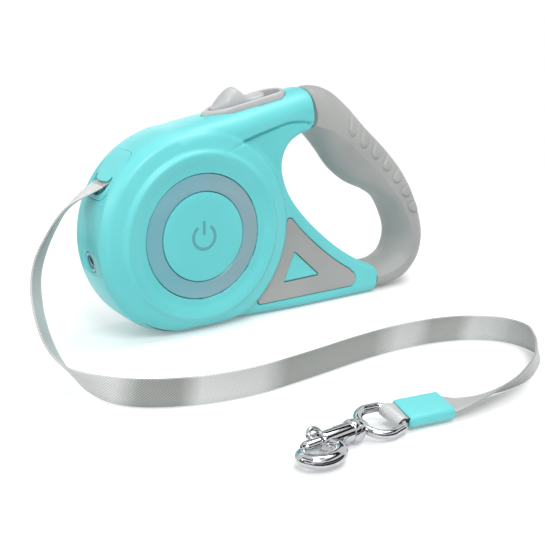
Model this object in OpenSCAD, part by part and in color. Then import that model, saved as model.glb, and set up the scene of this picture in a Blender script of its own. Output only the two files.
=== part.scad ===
// Retractable dog leash: a drum casing with a loop handle, a sprung tape reel with a thumb brake,
// a light ring with a power button, and a flat tape that ends in a swivel bolt snap.
// The reel axis runs along Y. The lit face looks along -Y, the mouth along -X, the handle along +X.
// The origin lies on the base plane, straight below the reel axis.

/* [Tape] */
// Width of the tape
tape_w = 11.5; // [9:0.5:15]
// Thickness of the tape
tape_t = 1; // [0.6:0.1:1.4]
// Outer radius of the tape wound on the reel
winding_r = 39; // [36:0.5:42]

/* [Reel] */
// Radius of the fixed axle
axle_r = 3.5; // [3:0.1:4]
// Outer radius of the hub that the tape winds on
hub_r = 22; // [20:0.5:24]
// Wall of the hub
hub_wall = 2; // [1.5:0.1:2.5]
// Height of a flange above the full winding
flange_rise = 3; // [2:0.25:4]
// Thickness of each flange
flange_t = 1.4; // [1.2:0.1:2]
// Number of ratchet teeth
tooth_n = 24; // [12:12:24]
// Height of the ratchet teeth
tooth_h = 3.4; // [3:0.1:4]
// Thickness of the ratchet ring
ratchet_t = 2.5; // [2:0.25:3]
// Radial running clearance of the reel on its axle
run_fit = 0.08; // [0.03:0.01:0.1]
// Turns of the mainspring
spring_turns = 8; // [5:1:9]
// Thickness of the mainspring strip
spring_t = 0.5; // [0.3:0.05:0.6]

/* [Casing] */
// Thickness of the casing wall
wall = 2.2; // [1.8:0.1:2.6]
// Room between the reel and the casing wall
reel_room = 4.3; // [4:0.1:6]
// Thickness of the floor under the reel
floor_t = 2; // [1.6:0.1:2.6]
// Thickness of the wall between the reel and the lights
divider_t = 1.4; // [1.2:0.1:2]
// Radius of the crest round the dished face
crest_r = 38; // [36:0.5:39]
// Height of the crest above the dished face
crest_rise = 1.5; // [1:0.1:2]
// Rounding of the base edges
base_round = 5; // [3:0.5:6]
// Inset of the triangle inlay from the finger hole
inlay_margin = 6.2; // [5:0.2:7.5]
// Length of the raised triangle's lower side
pad_side = 21.2; // [18:0.2:23]
// Height of the inlay above the casing
inlay_proud = 0.5; // [0.2:0.1:0.8]

/* [Handle] */
// Slope of the top rail in degrees
rail_tilt = 11.3; // [10:0.1:12.5]
// Length of the top rail from the reel axis
rail_end = 70; // [68:0.5:72]
// Depth of the handle where it meets the rail
grip_root = 20.7; // [19:0.1:22]
// Half width of the handle
grip_half = 12.4; // [11.5:0.1:13]
// Thickness of the soft grip
grip_wall = 2.2; // [1.8:0.1:2.6]
// Half width of the core inside the grip
core_half = 9; // [8:0.1:9.4]

/* [Brake] */
// Length of the thumb button
button_len = 29; // [26:0.5:30]
// Half width of the thumb button
button_half = 5.8; // [5:0.1:6.5]
// Travel of the thumb button from free to locked
lock_travel = 6; // [4:0.5:6]
// Swing of the brake lever in degrees
press_swing = 5; // [4:0.5:5.5]
// Radius of the lever's pivot pin
pivot_r = 1.5; // [1.2:0.1:1.8]

/* [Light] */
// Outer radius of the light ring
ring_r = 28.5; // [27:0.5:29.5]
// Radius of the power button
power_r = 20.3; // [19:0.1:21]
// Thickness of the light ring
ring_t = 1.8; // [1.6:0.1:2.4]
// Travel of the power button
power_travel = 0.5; // [0.3:0.1:0.8]
// Number of LEDs under the ring
led_n = 8; // [6:1:12]
// Radius of the coin cell
cell_r = 10; // [8:0.5:12]
// Thickness of the coin cell
cell_t = 3.2; // [2:0.1:3.6]
// Radius of the front lamp lens
lens_r = 4; // [3:0.1:4]

/* [Snap] */
// Wire radius of the swivel eye
eye_wire = 1.4; // [1.2:0.1:1.6]
// Radius of the snap's barrel
barrel_r = 4; // [3.8:0.1:4.3]
// Radius of the sliding bolt
bolt_r = 2.3; // [2:0.1:2.5]
// Travel of the sliding bolt
bolt_travel = 5.5; // [4:0.25:5.5]
// Half length of the hook, to the middle of its wire
hook_r = 7.6; // [7.4:0.1:9]
// Half width of the hook, to the middle of its wire
hook_side = 5.2; // [5:0.1:6.5]
// Wire radius of the hook
hook_wire = 2.2; // [1.8:0.1:2.3]
// Length of the end sleeve
sleeve_len = 20; // [17:0.5:22]
// Thickness of the end sleeve
sleeve_t = 5.8; // [5.6:0.1:6.2]

/* [Hidden] */
$fn = 64;

// Clearances
seat_gap = 0.1;
side_gap = 0.3;
slack = 0.5;
cut = 1;
far = 200;

// Layers across the casing, as distances from the parting plane
flange_in = tape_w / 2 + side_gap;
flange_out = flange_in + flange_t;
divider_in = flange_out + slack;
divider_out = divider_in + divider_t;
ratchet_out = flange_out + ratchet_t;
boss_face = ratchet_out + slack;
cell_top = divider_out + cell_t;
board_low = cell_top + seat_gap;
board_t = 1;
board_top = board_low + board_t;
lip_t = 0.5;
lip_low = board_top + 0.35 + power_travel;
lip_top = lip_low + lip_t;
ring_low = lip_top + 0.2;
face = ring_low + ring_t;
crest = face + crest_rise;
ridge = face - 2.5;
rim_half = face - 6.5;
web_half = face - 4.8;
rail_half = face - 4.2;
recess_t = 1.2;
pocket_half = web_half - recess_t - 1.6;

// Radii about the reel axis
flange_r = winding_r + flange_rise;
chamber_r = flange_r + reel_room;
casing_r = chamber_r + wall;
ridge_r = casing_r - 2.5;
dish_r = ring_r + 1.5;
cup_r = ring_r + 2.3;
axis_h = flange_r + 1 + floor_t;
inlay_r = casing_r - 0.8;

// Frame of the top rail: s runs along it from the reel axis, t is the distance above the axis
rail_top = casing_r - 0.3;
rail_low = rail_top - 13.7;
rail_skin = 3.5;
rail_round = 8;
function rail_pt(s, t) = [s * cos(rail_tilt) - t * sin(rail_tilt),
                          axis_h + s * sin(rail_tilt) + t * cos(rail_tilt)];

// The handle outline is drawn for a rail end at this point and follows it
drawn_root = [59.2, 106];
root = rail_pt(rail_end, rail_top);
function handle_pt(p) = [p[0] + root[0] - drawn_root[0], p[1] * root[1] / drawn_root[1]];
drawn_foot = [104, 14.4];
web_end = handle_pt(drawn_foot)[0];
foot_h = handle_pt(drawn_foot)[1];

// Outer and inner edge of the handle, paired station by station
outer_knots = [root, rail_pt(rail_end + 7, rail_top - 0.2), handle_pt([77, 103.2]), handle_pt([88, 94]),
               handle_pt([99.5, 84.6]), handle_pt([113.5, 73.2]), handle_pt([125.5, 60.2]),
               handle_pt([134, 46.5]), handle_pt([139, 33]), handle_pt([140, 22]), handle_pt([136.5, 11.5]),
               handle_pt([127.5, 3]), handle_pt([115, 0]), [web_end, 0]];
inner_knots = [rail_pt(rail_end, rail_top - grip_root), handle_pt([66, 84]), handle_pt([70.5, 79.8]),
               handle_pt([75.5, 73.4]), handle_pt([82, 65]), handle_pt([92, 57.2]), handle_pt([104, 51.6]),
               handle_pt([113.5, 45.4]), handle_pt([119.8, 36]), handle_pt([122, 27]), handle_pt([119, 18.8]),
               handle_pt([114.5, 15.4]), handle_pt([109.5, 14.2]), [web_end, foot_h]];
// Casing edge of the finger hole, from the rail round to the foot
hole_knots = [rail_pt(rail_end - side_gap, rail_top - grip_root), handle_pt([57, 85.6]),
              handle_pt([51, 82.3]), handle_pt([47.3, 77]),
              handle_pt([46.2, 70]), handle_pt([48.2, 62]), handle_pt([52.5, 54]), handle_pt([60, 44.8]),
              handle_pt([70, 35.2]), handle_pt([80, 27]), handle_pt([90, 20.3]), handle_pt([97.5, 16.4]),
              [web_end, foot_h]];

// Smooth curve through points
function blend(a, b, c, d, t) =
    (2 * b + (c - a) * t + (2 * a - 5 * b + 4 * c - d) * t * t + (3 * b - a - 3 * c + d) * t * t * t) / 2;
function curve(p, n) = [
    for (i = [0 : len(p) - 2], k = [0 : n - 1])
        blend(p[max(i - 1, 0)], p[i], p[i + 1], p[min(i + 2, len(p) - 1)], k / n),
    p[len(p) - 1]];
function reverse(p) = [for (i = [len(p) - 1 : -1 : 0]) p[i]];
function arc(x, y, r, a, b, n) = [
    for (i = [0 : n])
        let(q = a + (b - a) * i / n)
        [x + r * cos(q), y + r * sin(q)]];
function unit(v) = v / norm(v);

// Frames and extrusions
module about_reel() translate([0, 0, axis_h]) rotate([90, 0, 0]) children();
module in_tilt(angle) translate([0, 0, axis_h]) rotate([0, -angle, 0]) children();
module slab(y0, y1) rotate([90, 0, 0]) translate([0, 0, -y1]) linear_extrude(y1 - y0) children();
module pin_y(x, z, r, y0, y1) translate([x, y0, z]) rotate([-90, 0, 0]) cylinder(r = r, h = y1 - y0);
module brick(x0, x1, y0, y1, z0, z1) translate([x0, y0, z0]) cube([x1 - x0, y1 - y0, z1 - z0]);
module along_x(x0, x1) translate([x0, 0, 0]) rotate([90, 0, 90]) linear_extrude(x1 - x0) children();
module other_side() mirror([0, 1, 0]) children();
module facing_front(r) translate([0, 0, axis_h]) rotate([0, 90 + lens_angle, 180])
    translate([0, 0, r]) children();

// Screws that hold the casing halves together, as places in the XZ plane
handle_screws = [handle_pt([72, 93]), handle_pt([107, 66]), handle_pt([130.5, 22])];
web_screws = [handle_pt([58, 9.4]), handle_pt([98, 7.5])];
screw_spots = concat(handle_screws, web_screws);
screw_r = 1.2;
screw_end = -5.4;
head_r = 2.8;
head_low = 5;
head_t = 1.8;
screw_boss_r = 3.8;

// Mouth: the tape leaves the winding on a tangent of this slope
run_tilt = 22.8;
run_r = winding_r + tape_t / 2 + 0.4;
mouth_r = casing_r + 1;
mouth_s = sqrt(mouth_r * mouth_r - run_r * run_r);
guide_end = -mouth_s + 13.5;
guide_half = tape_w / 2 + 3.2;
guide_high = 4.8;
guide_lip = 2;
slot_room = 0.8;
mouth_pt = [-mouth_s * cos(run_tilt) - run_r * sin(run_tilt), 0,
            axis_h - mouth_s * sin(run_tilt) + run_r * cos(run_tilt)];
lens_angle = 9.8;

// Brake layout in the rail frame
bezel_s = [19.4, 63.8];
button_s = 24.4;
gate_s = [button_s - 1.3, button_s + button_len + lock_travel + 0.7];
gate_half = button_half + 0.4;
bezel_half = gate_half + 1.8;
bezel_t = 1.8;
bezel_rise = 1.7;
bezel_low = rail_top - bezel_t;
lever_top = rail_top - 6.2;
lever_t = 4;
lever_half = 4;
pivot_s = gate_s[1] + 4;
lever_tail = 4.2;
pivot_t = lever_top - lever_t / 2;
pawl_s = 22;
pawl_half = 1.5;
pawl_low = rail_top - 10.8;
neck_s = 6;
neck_len = 4;
button_low = lever_top + side_gap;
gate_low = button_low - (pivot_s - button_s) * sin(press_swing) - slack;
lever_room = 4.5;
lever_dip = 8;
cavity_low = rail_low - 3;
spring_s = 40;

// 2D outline of the web between the drum, the rail and the handle
module web_outline() polygon(concat(
    curve(hole_knots, 4), [[web_end, 0], [0, 0], [0, axis_h]],
    [rail_pt(10, rail_low + 2), rail_pt(rail_end - side_gap, rail_low + 2)]));
inlay_front = 20;
inlay_over = 10;
inlay_tail = 13.8;
inlay_round = 2;
module inlay_outline() offset(r = inlay_round) offset(delta = -inlay_round) difference() {
    intersection() {
        offset(delta = -inlay_margin) web_outline();
        translate([inlay_front, 0]) square([web_end - inlay_tail - inlay_front, axis_h + inlay_over]);
    }
    translate([0, axis_h]) circle(r = inlay_r);
}
// Raised triangle of the casing inside the inlay, drawn at one size and scaled about its middle
drawn_pad = [[52.4, 29.4], [67.4, 15.4], [46.2, 15]];
drawn_pad_side = 21.2;
pad_mid = handle_pt((drawn_pad[0] + drawn_pad[1] + drawn_pad[2]) / 3);
pad_round = 0.6;
module pad_outline() offset(r = pad_round) offset(delta = -pad_round) polygon([for (p = drawn_pad)
    pad_mid + (handle_pt(p) - pad_mid) * pad_side / drawn_pad_side]);

// Outer form of one casing half, on the +z side of the drum's own frame
module drum_form() about_reel() rotate_extrude($fn = 128) polygon(concat(
    [[0, 0], [casing_r, 0], [casing_r, rim_half]],
    arc(ridge_r - 0.6, rim_half, casing_r - ridge_r + 0.6, 20, 60, 3),
    [[ridge_r - 0.6, ridge - 0.2]],
    [[crest_r + 4, crest - 1.1], [crest_r + 1.5, crest - 0.2]],
    [[crest_r, crest], [crest_r - 1.5, crest - 0.25]],
    [[dish_r, face], [0, face]]));
module rail_form() in_tilt(rail_tilt) along_x(0, rail_end) polygon(concat(
    [[0, rail_low], [-rail_half, rail_low]],
    arc(-rail_half + rail_round, rail_top - rail_round, rail_round, 180, 90, 6),
    [[0, rail_top]]));
module web_form() intersection() {
    slab(-far, 0) web_outline();
    along_x(-far, far) polygon(concat(
        arc(-web_half + base_round, base_round, base_round, 270, 180, 6),
        [[-web_half, far], [0, far], [0, 0]]));
}
// Room for the reel: the cup of the light pocket stands in it on the lit side
module reel_room_form(lit) intersection() {
    about_reel() rotate_extrude($fn = 128) polygon(concat(
        [[0, -cut], [chamber_r, -cut], [chamber_r, rim_half - 0.7], [ridge_r - 1.6, ridge - 1.8],
         [crest_r - 0.4, crest - wall - 0.1], [cup_r, face - wall + 0.2]],
        lit ? [[cup_r, divider_in], [0, divider_in]] : [[0, face - wall + 0.2]]));
    brick(-far, far, -far, far, floor_t, far);
}
module drum_bar() pin_y(0, axis_h, casing_r - 0.2, -far, far);

// Core of the handle, one half
handle_outer = [for (p = curve(outer_knots, 4)) [p[0], max(p[1], 0)]];
handle_inner = curve(inner_knots, 4);
stations = len(handle_outer);
handle_across = [for (k = [0 : stations - 1]) unit(handle_outer[k] - handle_inner[k])];
core_outer = [for (k = [0 : stations - 1]) handle_outer[k] - grip_wall * handle_across[k]];
core_inner = [for (k = [0 : stations - 1]) handle_inner[k] + grip_wall * handle_across[k]];
rail_dir = [cos(rail_tilt), sin(rail_tilt)];
core_tail = 5;
module core_outline() polygon(concat(
    [core_outer[0] - core_tail * rail_dir], core_outer,
    [core_outer[stations - 1] - [core_tail, 0], core_inner[stations - 1] - [core_tail, 0]],
    reverse(core_inner), [core_inner[0] - core_tail * rail_dir]));
module core_form() difference() {
    slab(-core_half, 0) core_outline();
    slab(-core_half + wall, cut) offset(delta = -wall) core_outline();
}

// Everything that both casing halves share, drawn as the -Y half
module half_shell(lit) difference() {
    union() {
        difference() {
            union() {
                drum_form();
                rail_form();
                web_form();
            }
            reel_room_form(lit);
            difference() {
                slab(-pocket_half, cut) offset(delta = -wall) intersection() {
                    web_outline();
                    square([far, rail_pt(0, rail_low)[1]]);
                }
                drum_bar();
            }
            difference() {
                in_tilt(rail_tilt) brick(8, rail_end - 3, -rail_half + wall, cut,
                                         cavity_low, rail_top - rail_skin);
                drum_bar();
            }
        }
        core_form();
        for (p = handle_screws) pin_y(p[0], p[1], screw_boss_r, -core_half, 0);
        for (p = web_screws) pin_y(p[0], p[1], screw_boss_r, -pocket_half - slack, 0);
        in_tilt(rail_tilt) translate([pivot_s, 0, pivot_t])
            rotate([90, 0, 0]) cylinder(r = pivot_r + 2, h = rail_half - cut);
    }
    brick(-far, far, -far, far, -far, 0);
    in_tilt(run_tilt) brick(-far, guide_end + slack, -guide_half - seat_gap, cut,
                            run_r - guide_high - seat_gap, run_r + guide_high + seat_gap);
    in_tilt(rail_tilt) brick(bezel_s[0] - seat_gap, bezel_s[1] + seat_gap, -bezel_half - seat_gap, cut,
                             bezel_low, far);
    in_tilt(rail_tilt) brick(gate_s[0], gate_s[1], -gate_half, cut, gate_low, far);
    in_tilt(rail_tilt) translate([pivot_s, cut, pivot_t])
        rotate([90, 0, 0]) cylinder(r = pivot_r, h = rail_half - wall + cut);
    in_tilt(rail_tilt) brick(pawl_s + neck_s - slack, pivot_s + lever_tail, -lever_half - side_gap, cut,
                             pivot_t - lever_dip, pivot_t + lever_room);
    facing_front(chamber_r - wall) cylinder(r = lens_r + seat_gap, h = 3 * wall);
    slab(-far, -web_half + recess_t) difference() {
        offset(delta = seat_gap) inlay_outline();
        pad_outline();
    }
}

module left_shell() color("mediumturquoise") difference() {
    half_shell(true);
    about_reel() translate([0, 0, divider_out]) cylinder(r = ring_r - 1.7, h = far, $fn = 128);
    about_reel() translate([0, 0, board_low]) cylinder(r = ring_r + seat_gap, h = far, $fn = 128);
    pin_y(0, axis_h, axle_r - 1.5, -far, 0);
    for (p = screw_spots) pin_y(p[0], p[1], screw_r, screw_end - slack, cut);
}
boss_wall = 3.5;
module right_shell() color("mediumturquoise") difference() {
    union() {
        other_side() half_shell(false);
        difference() {
            pin_y(0, axis_h, axle_r + boss_wall, boss_face, face - 1);
            pin_y(0, axis_h, axle_r + seat_gap / 2, boss_face - cut, boss_face + 3);
        }
    }
    pin_y(0, axis_h, 1.7, boss_face, far);
    pin_y(0, axis_h, 3.2, face - 1.4, far);
    in_tilt(rail_tilt) brick(pawl_s - neck_s, pivot_s + lever_tail, -cut, ratchet_out + side_gap,
                             pivot_t - lever_dip, pivot_t + lever_room);
    for (p = screw_spots) {
        pin_y(p[0], p[1], screw_r + side_gap, -cut, far);
        pin_y(p[0], p[1], head_r + side_gap, head_low, far);
    }
}

// Soft grip: a half sleeve swept round the handle, with the core inside it
grip_sides = 12;
grip_square = 2.6;
function grip_bulge(c) = sign(c) * pow(abs(c), 2 / grip_square);
function grip_outer(w, j) = [w / 2 * (1 - grip_bulge(cos(180 * j / grip_sides))),
                             -grip_half * grip_bulge(sin(180 * j / grip_sides))];
function grip_inner(w, j) =
    let(q = grip_sides / 4, g = grip_wall)
    j <= q ? [g, -core_half * j / q]
    : j >= 3 * q ? [w - g, -core_half * (grip_sides - j) / q]
    : [g + (w - 2 * g) * (j - q) / (2 * q), -core_half];
function grip_ring(o, i) =
    let(w = norm(o - i), e = (o - i) / w,
        loop = concat([for (j = [0 : grip_sides]) grip_outer(w, j)],
                      [for (j = [grip_sides : -1 : 0]) grip_inner(w, j)]))
    [for (q = loop) [i[0] + e[0] * q[0], q[1], i[1] + e[1] * q[0]]];
module grip_half_form() {
    n = 2 * grip_sides + 2;
    points = [for (k = [0 : stations - 1]) each grip_ring(handle_outer[k], handle_inner[k])];
    sides = [for (k = [0 : stations - 2], j = [0 : n - 1])
        let(a = k * n + j, b = k * n + (j + 1) % n) each [[a, b, b + n], [a, b + n, a + n]]];
    first = [for (j = [0 : grip_sides - 1]) each [[j, n - 1 - j, n - 2 - j], [j, n - 2 - j, j + 1]]];
    last = [for (f = first) [for (v = reverse(f)) v + (stations - 1) * n]];
    polyhedron(points, concat(sides, first, last));
}
module left_grip() color("darkgray") grip_half_form();
module right_grip() color("darkgray") difference() {
    other_side() grip_half_form();
    for (p = handle_screws) pin_y(p[0], p[1], head_r + side_gap, core_half - cut, far);
}

module inlay_form() slab(-web_half - inlay_proud, -web_half + recess_t) difference() {
    inlay_outline();
    offset(delta = seat_gap) pad_outline();
}
module left_inlay() color("darkgray") inlay_form();
module right_inlay() color("darkgray") other_side() inlay_form();

module casing_screws() color("silver") for (p = screw_spots) {
    pin_y(p[0], p[1], screw_r - 0.05, screw_end, head_low);
    pin_y(p[0], p[1], head_r, head_low, head_low + head_t);
}

// Mouth insert with the tape slot, and the front lamp
module tape_guide() color("turquoise") difference() {
    intersection() {
        union() {
            in_tilt(run_tilt) brick(-far, guide_end, -guide_half, guide_half,
                                    run_r - guide_high, run_r + guide_high);
            intersection() {
                in_tilt(run_tilt) brick(-far, guide_end, -guide_half - 0.8, guide_half + 0.8,
                                        run_r - guide_high - guide_lip, run_r + guide_high + guide_lip);
                pin_y(0, axis_h, chamber_r - seat_gap, -far, far);
            }
        }
        difference() {
            pin_y(0, axis_h, mouth_r - 0.2, -guide_half - 2, guide_half + 2);
            pin_y(0, axis_h, flange_r + 1.2, -far, far);
        }
    }
    in_tilt(run_tilt) brick(-far, 0, -tape_w / 2 - slot_room, tape_w / 2 + slot_room,
                            run_r - tape_t / 2 - slot_room, run_r + tape_t / 2 + slot_room);
}
module front_lens() color("lightcyan") {
    facing_front(chamber_r - 1.4) cylinder(r = lens_r + 1, h = 1);
    facing_front(chamber_r - 0.4) cylinder(r = lens_r, h = wall - 0.2);
}
module front_lamp() color("ivory") {
    facing_front(chamber_r - 3.4) translate([-2.5, -2.5, 0]) cube([5, 5, 1]);
    facing_front(chamber_r - 2.4) translate([-1.4, -1.4, 0]) cube([2.8, 2.8, 1]);
}

// Thumb brake
module brake_bezel() color("gainsboro") in_tilt(rail_tilt) difference() {
    brick(bezel_s[0], bezel_s[1], -bezel_half, bezel_half, bezel_low, rail_top + bezel_rise);
    brick(gate_s[0], gate_s[1], -gate_half, gate_half, 0, far);
}
// Side view of the thumb button: a nose that rises to a ridge, then a dished pad that runs down to the rear
button_knots = [[0, 2.6], [3.5, 4.2], [8, 7], [12, 8.5], [14, 8.3], [16.5, 6.4], [20, 4], [24.5, 2.4]];
module brake_button() color("gainsboro") in_tilt(rail_tilt) translate([button_s, 0, rail_top])
    slab(-button_half, button_half) polygon(concat(
        [[0, button_low - rail_top]],
        curve(button_knots, 4),
        [[button_len, 1.2], [button_len, button_low - rail_top]]));
pawl_y = [flange_out + side_gap, ratchet_out - 0.2];
module brake_lever() color("dimgray") in_tilt(rail_tilt) difference() {
    union() {
        brick(pawl_s + neck_s, pivot_s, -lever_half, lever_half, lever_top - lever_t, lever_top);
        translate([pivot_s, lever_half, pivot_t]) rotate([90, 0, 0])
            cylinder(r = lever_t / 2 + 0.4, h = 2 * lever_half);
        brick(pawl_s + neck_s, pawl_s + neck_s + neck_len, 0, pawl_y[1], lever_top - lever_t, lever_top);
        brick(pawl_s - pawl_half, pawl_s + neck_s + neck_len, pawl_y[0], pawl_y[1],
              lever_top - lever_t + 0.4, lever_top);
        brick(pawl_s - pawl_half, pawl_s + pawl_half, pawl_y[0], pawl_y[1], pawl_low, lever_top);
    }
    translate([pivot_s, far, pivot_t]) rotate([90, 0, 0]) cylinder(r = pivot_r + run_fit, h = 2 * far);
}
pin_half = rail_half - wall - 0.2;
module brake_pin() color("silver") in_tilt(rail_tilt) translate([pivot_s, pin_half, pivot_t])
    rotate([90, 0, 0]) cylinder(r = pivot_r - 0.02, h = 2 * pin_half);
// Return spring under the lever: one round wire wound by a formula
coil_turns = 5;
coil_r = 2.6;
coil_wire = 0.35;
module wire(route, r, sides) {
    rows = len(route);
    step = [for (k = [0 : rows - 1]) unit(route[min(k + 1, rows - 1)] - route[max(k - 1, 0)])];
    points = [for (k = [0 : rows - 1])
        let(a = unit(cross(step[k], [0.01, 0.02, 1])), b = cross(step[k], a))
        each [for (j = [0 : sides - 1])
            route[k] + r * (a * cos(360 * j / sides) + b * sin(360 * j / sides))]];
    skin = [for (k = [0 : rows - 2], j = [0 : sides - 1])
        let(p = k * sides + j, q = k * sides + (j + 1) % sides)
        each [[p, q + sides, q], [p, p + sides, q + sides]]];
    end = (rows - 1) * sides;
    first = [for (j = [1 : sides - 2]) [0, j, j + 1]];
    last = [for (j = [1 : sides - 2]) [end, end + j + 1, end + j]];
    polyhedron(points, concat(skin, first, last));
}
function coil(turns, r, length) = [
    for (k = [0 : 8 * turns]) [r * cos(45 * k), r * sin(45 * k), length * k / (8 * turns)]];
module brake_spring() color("silver") in_tilt(rail_tilt) translate([spring_s, 0, cavity_low + coil_wire])
    wire(coil(coil_turns, coil_r, lever_top - lever_t - cavity_low - 2 * coil_wire - 0.1), coil_wire, 6);

// Light ring, power button and what lies under them, as layers in the drum's own frame
module layer(r, z0, z1) translate([0, 0, z0]) cylinder(r = r, h = z1 - z0, $fn = 128);
skirt_t = 1.2;
lip_reach = 1.2;
module light_ring() color("lightblue") about_reel() difference() {
    union() {
        layer(ring_r, ring_low, face);
        layer(ring_r, board_top, ring_low);
    }
    layer(power_r + 0.2, 0, far);
    layer(ring_r - skirt_t, 0, ring_low);
}
module power_button() color("mediumturquoise") about_reel() {
    layer(power_r, ring_low + 0.4, face + 0.3);
    difference() {
        layer(power_r, lip_low, ring_low + 0.4);
        layer(power_r - 1.2, 0, far);
    }
    difference() {
        layer(power_r + lip_reach, lip_low, lip_top);
        layer(power_r - 0.6, 0, far);
    }
}
stem_r = 1.6;
module switch_stem() color("dimgray") about_reel()
    layer(stem_r, board_top + 0.2 + power_travel, ring_low + 0.4);
module key_switch() color("black") about_reel() difference() {
    translate([-3, -3, board_top]) cube([6, 6, ring_low + 0.2 - power_travel - board_top]);
    layer(stem_r + 0.2, 0, far);
}
module light_board() color("darkgreen") about_reel() layer(ring_r - 0.5, board_low, board_top);
led_band = [power_r + lip_reach, ring_r - skirt_t];
led_mid = (led_band[0] + led_band[1]) / 2;
led_l = (led_band[1] - led_band[0]) / 2;
led_w = 3.5;
led_h = 0.8;
module ring_leds() color("white") about_reel() for (k = [0 : led_n - 1])
    rotate([0, 0, 360 * (k + 0.5) / led_n]) translate([led_mid - led_l / 2, -led_w / 2, board_top])
        cube([led_l, led_w, led_h]);
module coin_cell() color("silver") about_reel() layer(cell_r, divider_out, cell_top);
module cell_holder() color("black") about_reel() difference() {
    layer(cell_r + 1.8, divider_out, cell_top - 0.4);
    layer(cell_r + 0.15, 0, far);
}

// Reel
module reel_drum() color("whitesmoke") about_reel() difference() {
    union() {
        layer(flange_r, flange_in, flange_out);
        layer(hub_r, -flange_in, flange_in);
    }
    layer(hub_r - hub_wall, -far, flange_in);
    layer(axle_r + run_fit, -far, far);
}
// The pressed pawl stands in the middle of a gap between two teeth
pawl_arm = [pivot_s - pawl_s, pivot_t - pawl_low];
pawl_down = [pivot_s - pawl_arm[0] * cos(press_swing) + pawl_arm[1] * sin(press_swing),
             pivot_t - pawl_arm[0] * sin(press_swing) - pawl_arm[1] * cos(press_swing)];
pawl_angle = atan2(pawl_down[1], pawl_down[0]) + rail_tilt;
tooth_pitch = 360 / tooth_n;
tooth_root = flange_r - tooth_h;
tooth_tip = flange_r - 0.4;
tooth_shape = [[-0.3, tooth_root], [-0.14, tooth_tip], [0.14, tooth_tip], [0.3, tooth_root]];
function tooth(k) = [
    for (q = tooth_shape)
        let(a = pawl_angle + tooth_pitch * (k + 0.5 + q[0]))
        q[1] * [cos(a), sin(a)]];
module reel_cover() color("whitesmoke") about_reel() {
    difference() {
        union() {
            translate([0, 0, -flange_out]) cylinder(r = flange_r, h = flange_t, $fn = 128);
            translate([0, 0, -ratchet_out]) linear_extrude(ratchet_t)
                polygon([for (k = [0 : tooth_n - 1]) each tooth(k)]);
        }
        translate([0, 0, -far]) cylinder(r = axle_r + run_fit, h = far);
        translate([0, 0, -far - flange_out]) cylinder(r = tooth_root - 3, h = far);
    }
}
spring_half = flange_in - 0.4;
spring_in = axle_r + 0.5;
spring_out = hub_r - hub_wall - spring_t - 0.2;
module mainspring() color("steelblue") about_reel()
    translate([0, 0, -spring_half]) linear_extrude(2 * spring_half)
    polygon([for (side = [0, 1], k = [0 : 20 * spring_turns])
        let(q = side == 0 ? k : 20 * spring_turns - k,
            r = spring_in + (spring_out - spring_in) * q / (20 * spring_turns) + side * spring_t)
        [r * cos(18 * q), r * sin(18 * q)]]);
module reel_axle() color("silver") about_reel() difference() {
    union() {
        layer(axle_r - 1.55, divider_in, divider_out - 0.1);
        translate([0, 0, -boss_face - 2.9]) cylinder(r = axle_r, h = boss_face + 2.9 + divider_in);
    }
    translate([0, 0, -boss_face - 2.9 - cut]) cylinder(r = 1.5, h = 8 + cut);
}
module axle_screw() color("silver") {
    pin_y(0, axis_h, 1.45, boss_face - 4, face - 1.4);
    pin_y(0, axis_h, 3, face - 1.4, face - 0.3);
}
module tape_winding() color("lightgray") about_reel() difference() {
    translate([0, 0, -tape_w / 2]) cylinder(r = winding_r, h = tape_w, $fn = 128);
    translate([0, 0, -far]) cylinder(r = hub_r + 0.05, h = 2 * far, $fn = 128);
}
module tape_lead() color("lightgray") in_tilt(run_tilt)
    brick(-mouth_s, 0, -tape_w / 2, tape_w / 2, run_r - tape_t / 2, run_r + tape_t / 2);

// Free tape: points that it runs through, each with the direction of its width
edge_h = tape_w / 2 + 0.2;
sleeve_mid = [18.4, -143.4, 4.3];
sleeve_yaw = 171;
sleeve_roll = 10;
sleeve_dir = [cos(sleeve_yaw), sin(sleeve_yaw), 0];
sleeve_wide = [-sin(sleeve_yaw), cos(sleeve_yaw), -sin(sleeve_roll)];
sleeve_in = sleeve_mid - sleeve_dir * sleeve_len / 2;
mouth_dir = [-cos(run_tilt), 0, -sin(run_tilt)];
tape_route = [
    [mouth_pt, [0, 1, 0]],
    [mouth_pt + 10 * mouth_dir, [0, 1, 0]],
    [[-61, -4, 60], [0, 1, 0]],
    [[-69, -8, 52], [-0.1, 1, -0.1]],
    [[-76, -13, 42.5], [-0.1, 1, -0.2]],
    [[-80, -20, 33], [-0.2, 0.9, -0.4]],
    [[-82, -29, 24], [-0.2, 0.7, -0.7]],
    [[-82, -38, 16], [-0.1, 0.5, -0.9]],
    [[-80, -48, 10], [0, 0.3, -1]],
    [[-76, -58, 7], [0, 0.1, -1]],
    [[-69, -69, edge_h], [0, 0, -1]],
    [[-58, -79, edge_h], [0, 0, -1]],
    [[-40, -86.5, edge_h], [0, 0, -1]],
    [[-18, -89.5, edge_h], [0, 0, -1]],
    [[8, -87.5, edge_h], [0, 0, -1]],
    [[36, -84, edge_h], [0, 0, -1]],
    [[60, -83, edge_h], [0, 0, -1]],
    [[80, -86, edge_h], [0, 0, -1]],
    [[94, -92, edge_h], [0, 0, -1]],
    [[103, -101.5, edge_h], [0, 0, -1]],
    [[105, -113, edge_h], [0, 0.1, -1]],
    [[100.5, -123, edge_h], [0.2, 0.3, -0.9]],
    [[90, -132.5, 5.6], [0.3, 0.5, -0.8]],
    [[77, -140.5, 5.2], [0.3, 0.6, -0.7]],
    [[63, -144.5, 4.8], [0.1, 0.75, -0.65]],
    [[50, -145.8, 4.4], [0, 0.9, -0.45]],
    [sleeve_in - 8 * sleeve_dir, -sleeve_wide],
    [sleeve_in, -sleeve_wide]];
tape_steps = 3;
tape_line = curve([for (p = tape_route) p[0]], tape_steps);
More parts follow.
